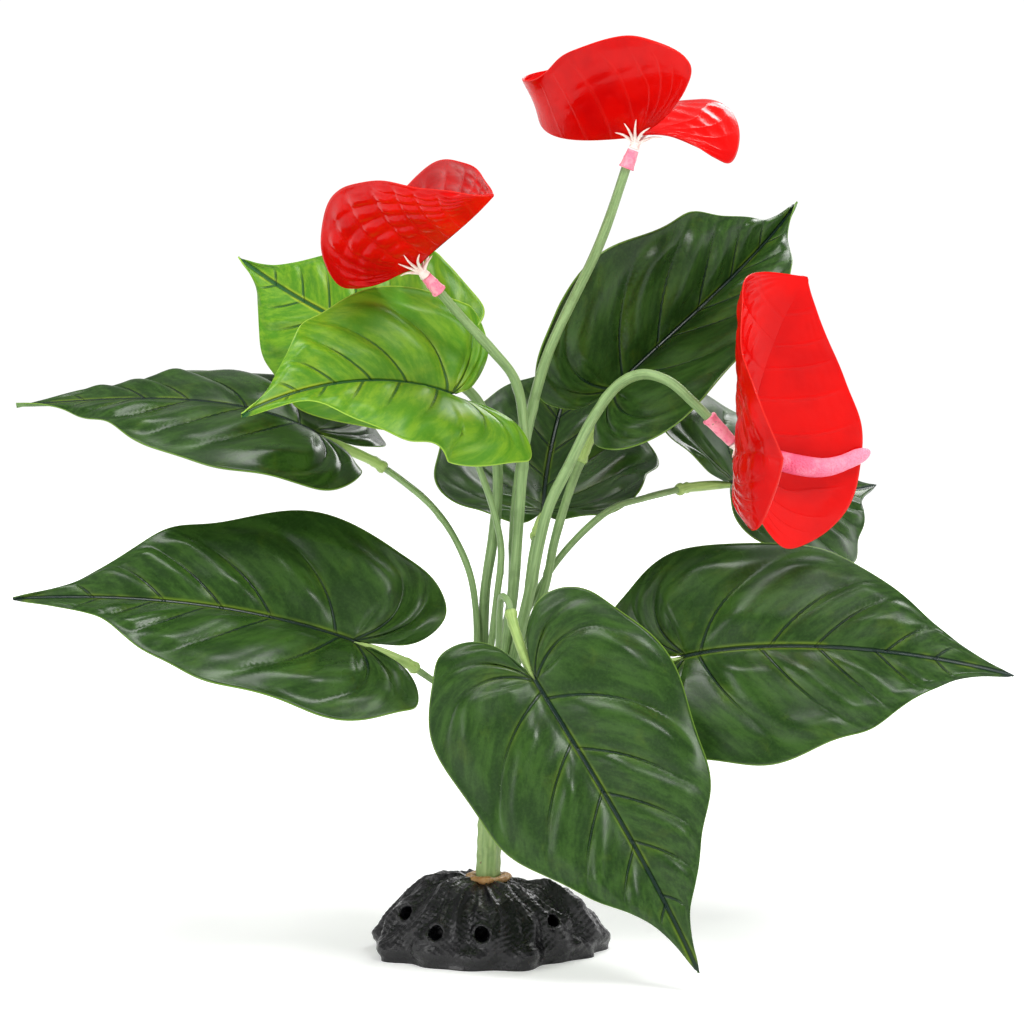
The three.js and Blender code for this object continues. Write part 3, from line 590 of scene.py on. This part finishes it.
def spathe_relief(x, phase, s, a, v, gap, side, seed):
    """Scales between a net of veins, low on a smooth half and strong on an embossed one."""
    pillow = (4 * x * (1 - x)) ** 0.6
    cross = np.abs(np.sin(s * 21 + 1.6 * x + np.floor(phase) * 1.3)) ** 0.7
    body = smooth(v, 3, 14) * (1 - smooth(s, 0.82, 0.96)) * smooth(a, 0, 0.06) * (1 - smooth(a, 0.88, 1))
    size = np.clip(gap / 12, 0.2, 1.1)
    height = -1.3 * SCALES[seed][side] * body * size * pillow * (0.3 + 0.7 * cross)
    height += 0.5 * SCALES[seed][side] * np.exp(-((v / 2.2) ** 2)) * (1 - smooth(a, 0.5, 1))
    height += 0.35 * smooth(s, 0.85, 1) * np.sin(a * 30 + seed)
    return height


LEAVES = {
    "front": dict(
        radius=1.3, seat=("outer", 270), seed=0,
        path=[(3.5, -8, 104), (5.5, -14, 126), (6, -20, 140), (7, -26, 147), (9.5, -31, 145), (11, -34, 138)],
        midrib=[(20, -45, 116), (35, -53, 92), (60, -70, 56), (82, -76, 8)], face=(0.1, -1, 0.25),
        left=dict(fold=8, curl=-14, lobe=10, wave=2, phase=1),
        right=dict(fold=8, curl=-18, lobe=12, wave=2, phase=2),
    ),
    "left_low": dict(
        radius=1.3, seat=("outer", 225), seed=1,
        path=[(-4.5, -7, 99), (-10, -11, 104.5), (-18, -16, 110.5), (-30, -24, 120)],
        midrib=[(-52, -28, 130), (-80, -27, 140), (-125, -24, 149), (-185, -28, 146)], face=(0, -0.68, 0.73),
        left=dict(fold=18, curl=-14, lobe=0, reach=1.15, wave=2, phase=0),
        right=dict(fold=6, curl=10, lobe=8, reach=1.1, wave=2, phase=1),
    ),
    "left_high": dict(
        radius=1.3, seat=("outer", 180), seed=2, drop=0.5,
        path=[(-4, 0, 108), (-3.5, 1, 120), (-3.5, 2.5, 134), (-6, 5, 152), (-13, 8, 168), (-22, 10, 180),
              (-34, 12, 190), (-44, 12, 197)],
        midrib=[(-69, 15, 210), (-105, 18, 228), (-150, 26, 222), (-192, 34, 219)], face=(0.05, -0.32, 0.94),
        left=dict(fold=0, curl=-14, lobe=10, wave=2, phase=2),
        right=dict(fold=2, curl=-14, lobe=-10, wave=2, phase=0),
    ),
    "right_low": dict(
        radius=1.3, seat=("outer", 0), seed=3, drop=0.3,
        path=[(12, -1, 101), (22, -3, 105.5), (40, -6, 111), (56, -9, 114)],
        midrib=[(80, -14, 122), (110, -22, 130), (160, -24, 128), (209, -22, 115)], face=(0, -0.85, 0.52),
        left=dict(fold=4, curl=-16, lobe=10, wave=2, phase=0),
        right=dict(fold=4, curl=-12, lobe=6, wave=2, phase=2),
    ),
    "back_up": dict(
        radius=1.7, seat=("outer", 45), seed=4,
        path=[(9.5, 6, 106), (14, 7, 120), (24, 8, 147), (28, 9, 166), (34, 11, 186), (40, 15, 201)],
        midrib=[(52, 25, 226), (72, 36, 246), (108, 58, 272), (132, 95, 302)], face=(-0.1, -0.72, 0.68),
        left=dict(fold=58, curl=12, lobe=0, wave=2, phase=1),
        right=dict(fold=20, curl=6, lobe=0, wave=2, phase=0),
    ),
    "back_centre": dict(
        radius=1.3, seat=("inner", 22.5), seed=5,
        path=[(7.5, 1.8, 106), (12, 4, 123), (16.5, 7, 142), (18.5, 14, 157), (21, 27, 168)],
        midrib=[(24, 46, 175), (24, 74, 182), (27, 100, 208), (44, 122, 246)], face=(0, -0.5, 0.86),
        left=dict(fold=12, curl=10, lobe=0, wave=2, phase=0),
        right=dict(fold=12, curl=10, lobe=0, wave=2, phase=2),
    ),
    "back_right": dict(
        radius=1.3, seat=("outer", 90), seed=6,
        path=[(4.5, 8.5, 104), (10, 11, 121), (22, 13, 146), (34, 13, 163), (51, 14, 178), (65, 21, 182),
              (82, 35, 185)],
        midrib=[(103, 46, 187), (120, 74, 187), (150, 116, 173), (173, 148, 178)], face=(0.6, -0.37, 0.67),
        left=dict(fold=4, curl=-8, lobe=0, reach=0.85, wave=2, phase=0),
        right=dict(fold=4, curl=-8, lobe=0, reach=0.85, wave=2, phase=1),
    ),
    "green_front": dict(
        radius=1.3, seat=("inner", 202.5), seed=7,
        path=[(0.5, -2, 106), (4, -3, 138), (6.5, -3.5, 163), (4, -5, 177), (0, -6, 190), (-5, -8, 203)],
        midrib=[(-13, -12, 226), (-36, -20, 235), (-64, -46, 234), (-92, -62, 220)], face=(-0.1, -0.4, 0.9),
        left=dict(fold=8, curl=-60, lobe=-5, reach=1.7, wave=2, phase=0),
        right=dict(fold=44, curl=0, lobe=40, reach=0.55, wave=2, phase=1),
    ),
    "green_back": dict(
        radius=2.0, seat=("outer", 135), seed=8,
        path=[(-2, 5, 104), (-1, 5, 122), (0, 5, 146), (3, 5, 166), (5, 5, 186), (4, 6, 204),
              (-3, 8, 222), (-14, 11, 232)],
        midrib=[(-34, 17, 244), (-58, 34, 252), (-84, 62, 264), (-104, 76, 279)], face=(-0.1, -0.9, 0.35),
        left=dict(fold=5, curl=-10, lobe=0, reach=1.4, wave=2, phase=0),
        right=dict(fold=5, curl=-10, lobe=0, reach=1.4, wave=2, phase=1),
    ),
}
FLOWERS = {
    "top": dict(
        seat=("inner", 112.5), seed=0,
        path=[(2.5, 3.2, 104), (6, 3, 120), (11, 2, 143), (12, 1, 172), (14.5, 0, 197), (24, -2, 238),
              (46, -4, 286),
              (57, -6, 318)],
        midrib=[(60, -6, 327), (42, 8, 326), (4, 28, 321), (31, 44, 357)], face=(0.15, 0, 0.99),
        left=dict(fold=62, curl=14, lobe=6, span=0.84, reach=0.8), right=dict(fold=40, curl=-30, lobe=-60),
        spadix=[(60.8, -5.2, 333.2), (55.5, 2.5, 340), (47, 11, 347), (36.5, 19, 352)],
    ),
    "left": dict(
        seat=("inner", 292.5), seed=1,
        path=[(5, -3.6, 104), (8, -4, 122), (11.5, -4.5, 150), (14, -5.5, 184), (15.5, -7, 210),
              (12, -9, 231),
              (3, -12, 243), (-8, -16, 255), (-20, -20, 269)],
        midrib=[(-26, -22, 276), (-15, -40, 286), (-6, -66, 292), (4, -84, 303)], face=(-0.52, 0.13, 0.84),
        left=dict(fold=30, curl=60, lobe=6, span=0.86),
        right=dict(fold=57, curl=24, lobe=-20, span=0.9, reach=1.05),
        spadix=[(-28.3, -20.5, 282), (-24.5, -28, 289), (-17.5, -39, 296), (-10.5, -50, 302)],
    ),
    "right": dict(
        seat=("outer", 315), seed=2,
        path=[(9, -5.5, 106), (12, -6.2, 122), (18, -8, 148), (25, -10, 180), (33, -12, 197), (43, -15, 217),
              (53, -17.5, 230), (62, -20, 234), (72, -23.5, 231.5), (82, -27, 223), (90, -29.5, 215)],
        midrib=[(101, -29, 205), (106, -28, 228), (112, -27, 252), (126, -25, 272)], face=(0.85, -0.52, 0),
        left=dict(fold=8, turn=-55, curl=80, lobe=34, reach=0.9, flare=1.1),
        right=dict(fold=46, curl=10, lobe=-8),
        spadix=[(104.5, -32.4, 205), (118, -32, 200), (134, -29, 198), (151, -26, 204)],
    ),
}


def stem_path(spec):
    """A stem's centre line, from its seat in the stalk's head."""
    ring, degrees = spec["seat"]
    radius = OUTER_SEAT if ring == "outer" else INNER_SEAT
    angle = math.radians(degrees)
    x, y, z = HEAD_CENTRE
    return spline([(x + radius * math.cos(angle), y + radius * math.sin(angle), z), *spec["path"]])


def stem_skin(radius, seed):
    """A stem's section: faint long ribs, two mould lines, and a few nubs where leaves were trimmed."""

    def skin(share, angle):
        ribs = 0.035 * np.cos(5 * angle + seed) + 0.02 * np.cos(9 * angle - seed)
        seam = 0.1 * np.exp(-((np.abs(np.sin(angle)) / 0.12) ** 2))
        swell = 0.03 * np.sin(share * 23 + seed) + 0.02 * np.sin(share * 51 + 2 * seed)
        nub = sum(
            0.22 * np.exp(-(((share - p) / 0.012) ** 2)) * np.exp(-((1 - np.cos(angle - q)) / 0.25))
            for p, q in ((0.31, seed), (0.55, seed + 2.2), (0.72, seed + 4.1))
        )
        return radius(share) * (1 + ribs + seam + swell + nub)

    return skin


def petiole(name, spec):
    path = stem_path(spec)
    skin = stem_skin(lambda share: spec["radius"], spec["seed"])
    points, faces, uv = sweep(path, skin, sides=24, steps=110)
    make_piece("petiole_" + name, points, faces, [STEM], {"bar": uv})
    return path


def socket(name, spec, path, blade):
    """A sleeve with a thick lip, its stub, and the rib that runs under the blade's midrib."""
    end, away = path.at(np.array(1.0)), path.tangent(np.array(1.0))
    mouth = end - away * PLUG_LENGTH
    gap = SHEET_THICKNESS / 2 + CLEARANCE + RIB_RADIUS
    drop = RIB_DROP + spec.get("drop", 0)

    def below(share):
        _, face = blade.frame_at(np.array(share))
        return blade.path.at(np.array(share)) - face * (gap + drop * (1 - share))

    start = end + away * CLEARANCE
    bend = start * 0.5 + below(0) * 0.5 + away * 3
    run = [below(share) for share in (0.015, 0.16, 0.32, 0.45, 0.55)]
    line = spline([mouth - away, end, start, bend, *run])
    reach = (np.linalg.norm(start - below(0)) + 5) / line.length

    def radius(share, angle):
        sleeve = SOCKET_RADIUS - (SOCKET_RADIUS - RIB_RADIUS * 1.25) * smooth(share, reach * 0.6, reach)
        rib = RIB_RADIUS * (1.25 - (share - reach) / (1 - reach))
        r = np.where(share < reach, sleeve, np.maximum(rib, 0.12))
        at = share * line.length
        lip = 0.75 * np.exp(-(((at - 1.6) / 0.9) ** 2)) + 0.4 * np.exp(-(((at - 5.2) / 0.7) ** 2))
        return (r + lip) * (1 + 0.03 * np.cos(4 * angle) + 0.02 * np.sin(share * 60))

    points, faces, uv = sweep(line, radius, sides=18, steps=90)
    make_piece("socket_" + name, points, faces, [SOCKET], {"bar": uv})


for name, spec in LEAVES.items():
    light = name.startswith("green")
    spec["width"] = GREEN_LEAF_WIDTH if light else LEAF_WIDTH
    looks = [GREEN_TOP, GREEN_UNDER] if light else [DARK_TOP, DARK_UNDER]
    path = petiole(name, spec)
    blade = blade_piece("blade_" + name, spec, HEART, LEAF_VEINS, leaf_relief, looks)
    socket(name, spec, path, blade)


# ---- flowers ----
def finger_skin(share, angle):
    """A calyx finger thins outwards and ends round."""
    return FINGER_RADIUS * (1.25 - share) * np.sqrt(np.clip((1 - share) / 0.1, 0.05, 1))


def spadix_skin(share, angle):
    body = 0.78 + 0.22 * np.sin(math.pi * np.minimum(1, share * 1.3))
    tip = np.sqrt(np.maximum(0.02, 1 - np.maximum(0, (share - 0.86) / 0.14) ** 2))
    foot = np.sqrt(np.maximum(0.1, 1 - np.maximum(0, (0.06 - share) / 0.06) ** 2))
    nubs = 0.012 * np.sin(angle * 17 + share * 160) * np.sin(share * 260)
    return SPADIX_RADIUS * body * tip * foot * (1 + nubs)


def ferrule_skin(share, angle):
    lip = 0.28 * np.exp(-(((share - 0.06) / 0.05) ** 2)) + 0.15 * np.exp(-(((share - 0.55) / 0.08) ** 2))
    return (FERRULE_RADIUS - FERRULE_TAPER * share + lip) * (1 + 0.025 * np.cos(6 * angle))


def calyx(blade, hub, up, seed):
    """A small disc with fingers that spread over the back of the spathe."""
    lift = SHEET_THICKNESS / 2 + CLEARANCE + FINGER_LIFT
    parts = []
    for k in range(FINGERS):
        angle = 2 * math.pi * (k + 0.5) / FINGERS
        side = -1 if math.sin(angle) < 0 else 1
        length = FINGER_REACH * (1 + 0.16 * math.sin(5 * k + seed))

        def reach(distance, lift):
            u, v = np.array(distance * math.cos(angle)), np.array(distance * abs(math.sin(angle)))
            here = blade.at(u, v, side)
            along_u, along_v = blade.at(u + 0.2, v, side) - here, blade.at(u, v + 0.2, side) - here
            return here + unit(np.cross(along_u, along_v)) * side * lift

        finger = spline([hub, reach(length * 0.5, lift), reach(length, lift - 0.2)])
        parts.append(sweep(finger, finger_skin, sides=10, steps=22))
    disc = Path([hub - up * 1.6 + up * 2.8 * t for t in np.linspace(0, 1, 12)])
    parts.append(sweep(disc, lambda share, angle: 2.3 - 0.7 * share, sides=20, steps=8))
    return joined(parts)


def flower(name, spec):
    """One flower: its stem, spathe, ferrule, calyx and spadix."""
    spec["width"] = SPATHE_WIDTH
    path = stem_path(spec)

    def radius(share):
        return FLOWER_STEM_RADIUS + np.where(share < 0.1, -0.1, 0.2 - 0.4 * share)

    points, faces, uv = sweep(path, stem_skin(radius, spec["seed"] + 0.7), sides=26, steps=130)
    make_piece("flower_stem_" + name, points, faces, [STEM], {"bar": uv})

    blade = blade_piece(
        "spathe_" + name, spec, SPATHE_HEART, SPATHE_VEINS, spathe_relief, [RED_FACE, RED_BACK],
        rows=140, columns=40,
    )
    end, away = path.at(np.array(1.0)), path.tangent(np.array(1.0))
    mouth = end - away * PLUG_LENGTH
    tangent, face = blade.frame_at(np.array(0.0))
    hub = blade.path.at(np.array(0.0)) - face * 3.2 + tangent * 0.6
    up = unit(hub - mouth)
    tip = mouth + up * (np.linalg.norm(hub - mouth) - 2.2)
    sleeve = Path([mouth * (1 - t) + tip * t for t in np.linspace(0, 1, 20)])

    solids = {
        "ferrule": (sweep(sleeve, ferrule_skin, sides=24, steps=30), FERRULE, "ferrule"),
        "calyx": (calyx(blade, hub, up, spec["seed"]), CALYX, "calyx"),
        "spadix": (sweep(spline(spec["spadix"]), spadix_skin, sides=44, steps=120), SPADIX, "spadix"),
    }
    for kind, ((points, faces, uv), look, slot) in solids.items():
        make_piece(f"{kind}_{name}", points, faces, [look], {"bar": uv})


for name, spec in FLOWERS.items():
    flower(name, spec)


# ---- stalk, glue and rock ----
ROCK_SIZE = (89, 72, 31)
HOLE_CENTRE = (0.9, -2.0)
HOLE_RADIUS, HOLE_FLOOR = 5.7, 9.0
PORE_RADIUS, PORE_DEPTH = 2.7, 9.0
SKIN_TOP, RIM_HEIGHT = 0.93, 30.2
LUMPS, LUMP_SEED = 90, 7
PORES = [
    ((-34, -19, 20), (0.45, 0.85, -0.3)), ((-20, -34, 14), (0.2, 0.95, -0.1)), ((-1, -38, 14), (0, 1, -0.05)),
    ((29, -26, 18), (-0.3, 0.9, -0.25)), ((20, 35, 14), (-0.2, -0.95, -0.1)),
    ((-16, 36, 13), (0.15, -0.95, -0.05)),
]


def stalk():
    """A ribbed stalk with two rings that widens into the head the stems stand in."""
    line = spline([(0.5, -2, 9), (1.2, -2, 36), (2.2, -1, 60), (3, 0, 84), (3, 0, 104)])

    def radius(share, angle):
        height = line.at(share)[..., 2]
        narrow = STALK_RADIUS + 0.6 * np.maximum(0, 1 - (height - 9) / 30)
        spread = smooth(height, 64, 86)
        shoulder = 1 - 0.2 * smooth(height, 99, 104)
        ribs = 0.05 * np.cos(7 * angle + share * 5) + 0.02 * np.cos(16 * angle - share * 9)
        rings = 0.05 * np.exp(-(((height - 52) / 1.2) ** 2)) + 0.06 * np.exp(-(((height - 63) / 1.5) ** 2))
        scar = 0.02 * np.sin(height * 1.1 + 2 * np.sin(3 * angle))
        body = (narrow + (HEAD_RADIUS - narrow) * spread) * shoulder
        return body * (1 + (ribs + rings + scar) * (1 - 0.7 * spread))

    points, faces, uv = sweep(line, radius, sides=72, steps=170)
    make_piece("trunk", points, faces, [STALK], {"bar": uv})


def glue():
    """A lumpy bead of glue round the stalk's foot."""
    around, sides = 96, 20
    a, q = np.meshgrid(angles(around), angles(sides), indexing="ij")
    fat = 1 + 0.2 * np.sin(3 * a + 1) + 0.12 * np.sin(7 * a) + 0.06 * np.sin(13 * a + q)
    reach = 7.2 + 2.0 * fat * np.cos(q) + 0.3 * np.sin(2 * a)
    x, y = HOLE_CENTRE[0] + reach * np.cos(a), HOLE_CENTRE[1] + reach * np.sin(a)
    points = np.stack([x, y, 30.4 + 1.5 * fat * np.sin(q)], -1).reshape(-1, 3)
    i, k = np.meshgrid(np.arange(around), np.arange(sides), indexing="ij")
    n, m = (i + 1) % around, (k + 1) % sides
    faces = np.stack([i * sides + k, n * sides + k, n * sides + m, i * sides + m], -1).reshape(-1, 4)
    make_piece("adhesive", points, faces, [GLUE])


def rock():
    """Resin poured like folded cloth: folds, rounded lumps, deep round pores and a hole for the stalk."""
    around, rings = 380, 96
    angle = angles(around)
    t, a = np.meshgrid(np.linspace(0, SKIN_TOP, rings), angle, indexing="ij")
    broad = 0.05 * np.sin(3 * a + 0.6) + 0.04 * np.sin(5 * a + 2.1)
    small = 0.035 * np.sin(9 * a + 5 * t) + 0.03 * np.sin(14 * a - 7 * t)
    reach = np.cos(t * math.pi / 2) ** 0.9 * (1 + broad + small * (1 - t * 0.5)) * 1.01
    x, y = 0.5 * ROCK_SIZE[0] * reach * np.cos(a), 0.5 * ROCK_SIZE[1] * reach * np.sin(a)
    ripple = 1 + 0.27 * np.sin(6 * a + 3 * t) * t * (1 - t)
    z = ROCK_SIZE[2] * np.sin(t * math.pi / 2) * ripple * (1 - 0.1 * np.cos(a) * t - 0.06 * np.sin(a) * t)
    close = smooth(t, 0.72, SKIN_TOP)
    x = x * (1 - close) + close * (HOLE_CENTRE[0] + HOLE_RADIUS * np.cos(a))
    y = y * (1 - close) + close * (HOLE_CENTRE[1] + HOLE_RADIUS * np.sin(a))
    z = z * (1 - close) + close * RIM_HEIGHT
    skin = np.stack([x, y, z], -1)
    du = np.roll(skin, -1, 1) - np.roll(skin, 1, 1)
    dv = np.gradient(skin, axis=0)
    normal = unit(np.cross(du, dv))
    live = smooth(t, 0.0, 0.07) * (1 - smooth(t, 0.84, SKIN_TOP))

    # Folds hang from the top and fan out towards the foot.
    sway = a + 0.12 * np.sin(4 * t + 2 * a) + 0.05 * np.sin(9 * t + 5 * a)
    wide = 1.5 * (1 - np.abs(np.sin(8.5 * sway + 0.8))) ** 1.4
    narrow = 0.8 * (1 - np.abs(np.sin(15 * sway + 2.2 * t))) ** 1.6
    height = (wide + narrow) * smooth(t, 0.02, 0.3) * (1 - smooth(t, 0.7, 0.9))
    height += 1.6 * np.exp(-(((t - 0.1) / 0.07) ** 2)) * (1 + 0.5 * np.sin(11 * a + 1))
    draw = np.random.default_rng(LUMP_SEED)
    for _ in range(LUMPS):
        at_a, at_t = draw.uniform(0, 2 * math.pi), draw.uniform(0.05, 0.85)
        size, tall = draw.uniform(2.2, 6.5), draw.uniform(-1.0, 2.3)
        near = skin[int(at_t / SKIN_TOP * (rings - 1)), int(at_a / (2 * math.pi) * around) % around]
        away = np.linalg.norm(skin - near, axis=-1)
        height += tall * np.exp(-((away / size) ** 2))
    height += 0.22 * np.sin(x * 1.9 + 2 * np.sin(y * 0.8)) * np.sin(z * 2.1 + y * 1.3)
    skin = skin + normal * (height * live - 0.9 * live)[..., None]
    skin[..., 2] = np.maximum(skin[..., 2], 0)
    for mouth, inward in PORES:
        mouth, inward = np.array(mouth, float), unit(np.array(inward, float))
        rel = skin - mouth
        depth = rel @ inward
        off = np.linalg.norm(rel - depth[..., None] * inward, axis=-1)
        facing = (normal @ inward < -0.2) & (np.abs(depth) < 14)
        push = np.where(facing, PORE_DEPTH * (1 - smooth(off, PORE_RADIUS * 0.72, PORE_RADIUS)), 0)
        lip = np.where(facing, 0.7 * np.exp(-(((off - PORE_RADIUS * 1.35) / 0.8) ** 2)), 0)
        skin = skin + inward * push[..., None] + normal * lip[..., None]

    def wall(inset, height):
        radius = HOLE_RADIUS - inset
        x, y = HOLE_CENTRE[0] + radius * np.cos(angle), HOLE_CENTRE[1] + radius * np.sin(angle)
        return np.stack([x, y, np.full(around, height)], -1)[None]

    foot = skin[:1] * [0.5, 0.5, 0]
    grid = np.concatenate([foot, skin, wall(0.1, 29.0), wall(0.2, 20.0), wall(0.3, HOLE_FLOOR)])
    total = len(grid)
    points = np.concatenate([grid.reshape(-1, 3), [[0, 0, 0], [*HOLE_CENTRE, HOLE_FLOOR]]])
    i, k = np.meshgrid(np.arange(total - 1), np.arange(around), indexing="ij")
    n = (k + 1) % around
    this, following = i * around, (i + 1) * around
    faces = np.stack([this + k, this + n, following + n, following + k], -1).reshape(-1, 4).tolist()
    underside, floor = total * around, total * around + 1
    last = (total - 1) * around
    for k in range(around):
        n = (k + 1) % around
        faces += [[underside, n, k], [floor, last + k, last + n]]
    make_piece("base_rock", points, faces, [RESIN])


stalk()
glue()
rock()


# ---- floor, light and camera ----
TABLE_RADIUS = 2.4
MIDDLE = (0.01, 0.0, 0.19)
CAMERA_PLACE, CAMERA_AIM = (0.0108, -1.3, 0.286), (0.0108, 0, 0.178)
CAMERA_LENS, CAMERA_SENSOR = 114.65, 36


def soft_step(tree, value, low, high, at_low, at_high):
    """The output of a node that goes smoothly from one number to another."""
    step = tree.nodes.new("ShaderNodeMapRange")
    step.interpolation_type = "SMOOTHSTEP"
    for key, number in {"From Min": low, "From Max": high, "To Min": at_low, "To Max": at_high}.items():
        step.inputs[key].default_value = number
    tree.links.new(value, step.inputs["Value"])
    return step.outputs[0]


def stage_table():
    """A round pale table whose glow grows outwards, so that it ends in plain white on every side."""
    work = bmesh.new()
    bmesh.ops.create_circle(work, cap_ends=True, segments=96, radius=TABLE_RADIUS)
    mesh = bpy.data.meshes.new("floor")
    work.to_mesh(mesh)
    work.free()
    floor = bpy.data.objects.new("floor", mesh)
    bpy.context.scene.collection.objects.link(floor)
    shades = (0.86, 0.86, 0.86), (0.88, 0.88, 0.88), (0.85, 0.85, 0.85)
    surface = dict(Specular_IOR_Level=0.1, Emission_Color=(1, 1, 1))
    paint = plain_look("pale_floor", *shades, 3.0, 0.8, 0.0001, **surface)
    mesh.materials.append(paint)
    tree = paint.node_tree
    far = tree.nodes.new("ShaderNodeVectorMath")
    far.operation = "LENGTH"
    tree.links.new(tree.nodes.new("ShaderNodeTexCoord").outputs["Object"], far.inputs[0])
    glow = soft_step(tree, far.outputs["Value"], 0.25, 1.3, 0.35, 1.0)
    tree.links.new(glow, tree.nodes["Principled BSDF"].inputs["Emission Strength"])


def stage_world():
    """A studio, white near the horizon and dimmer above, so that only the lamps shine in the leaves."""
    world = bpy.data.worlds.new("studio")
    world.use_nodes = True
    tree = world.node_tree
    direction = tree.nodes.new("ShaderNodeTexCoord")
    split = tree.nodes.new("ShaderNodeSeparateXYZ")
    tree.links.new(direction.outputs["Generated"], split.inputs[0])
    strength = soft_step(tree, split.outputs[2], 0.1, 0.4, 1.05, 0.36)
    background = tree.nodes["Background"]
    tree.links.new(strength, background.inputs["Strength"])
    background.inputs["Color"].default_value = (1, 1, 1, 1)
    bpy.context.scene.world = world
    bpy.context.scene.view_settings.view_transform = "Standard"


def aim(thing, place, target):
    thing.location = place
    thing.rotation_euler = (Vector(target) - Vector(place)).to_track_quat("-Z", "Y").to_euler()
    bpy.context.scene.collection.objects.link(thing)


def lamp(name, place, size, power):
    """A rectangular lamp that points at the middle of the plant."""
    light = bpy.data.lights.new(name, "AREA")
    light.shape = "RECTANGLE"
    light.size, light.size_y = size
    light.energy = power
    aim(bpy.data.objects.new(name, light), place, MIDDLE)


stage_table()
stage_world()
lamp("key", (0.75, -0.85, 1.25), (0.42, 0.42), 11)
lamp("fill", (-1.1, -1.0, 0.75), (0.5, 0.7), 6)
lamp("overhead", (-0.1, -0.25, 1.5), (0.7, 0.5), 13)
lamp("rim", (0.6, 1.2, 1.1), (0.6, 0.6), 8)

camera = bpy.data.objects.new("camera", bpy.data.cameras.new("camera"))
camera.data.lens, camera.data.sensor_width = CAMERA_LENS, CAMERA_SENSOR
aim(camera, CAMERA_PLACE, CAMERA_AIM)
bpy.context.scene.camera = camera
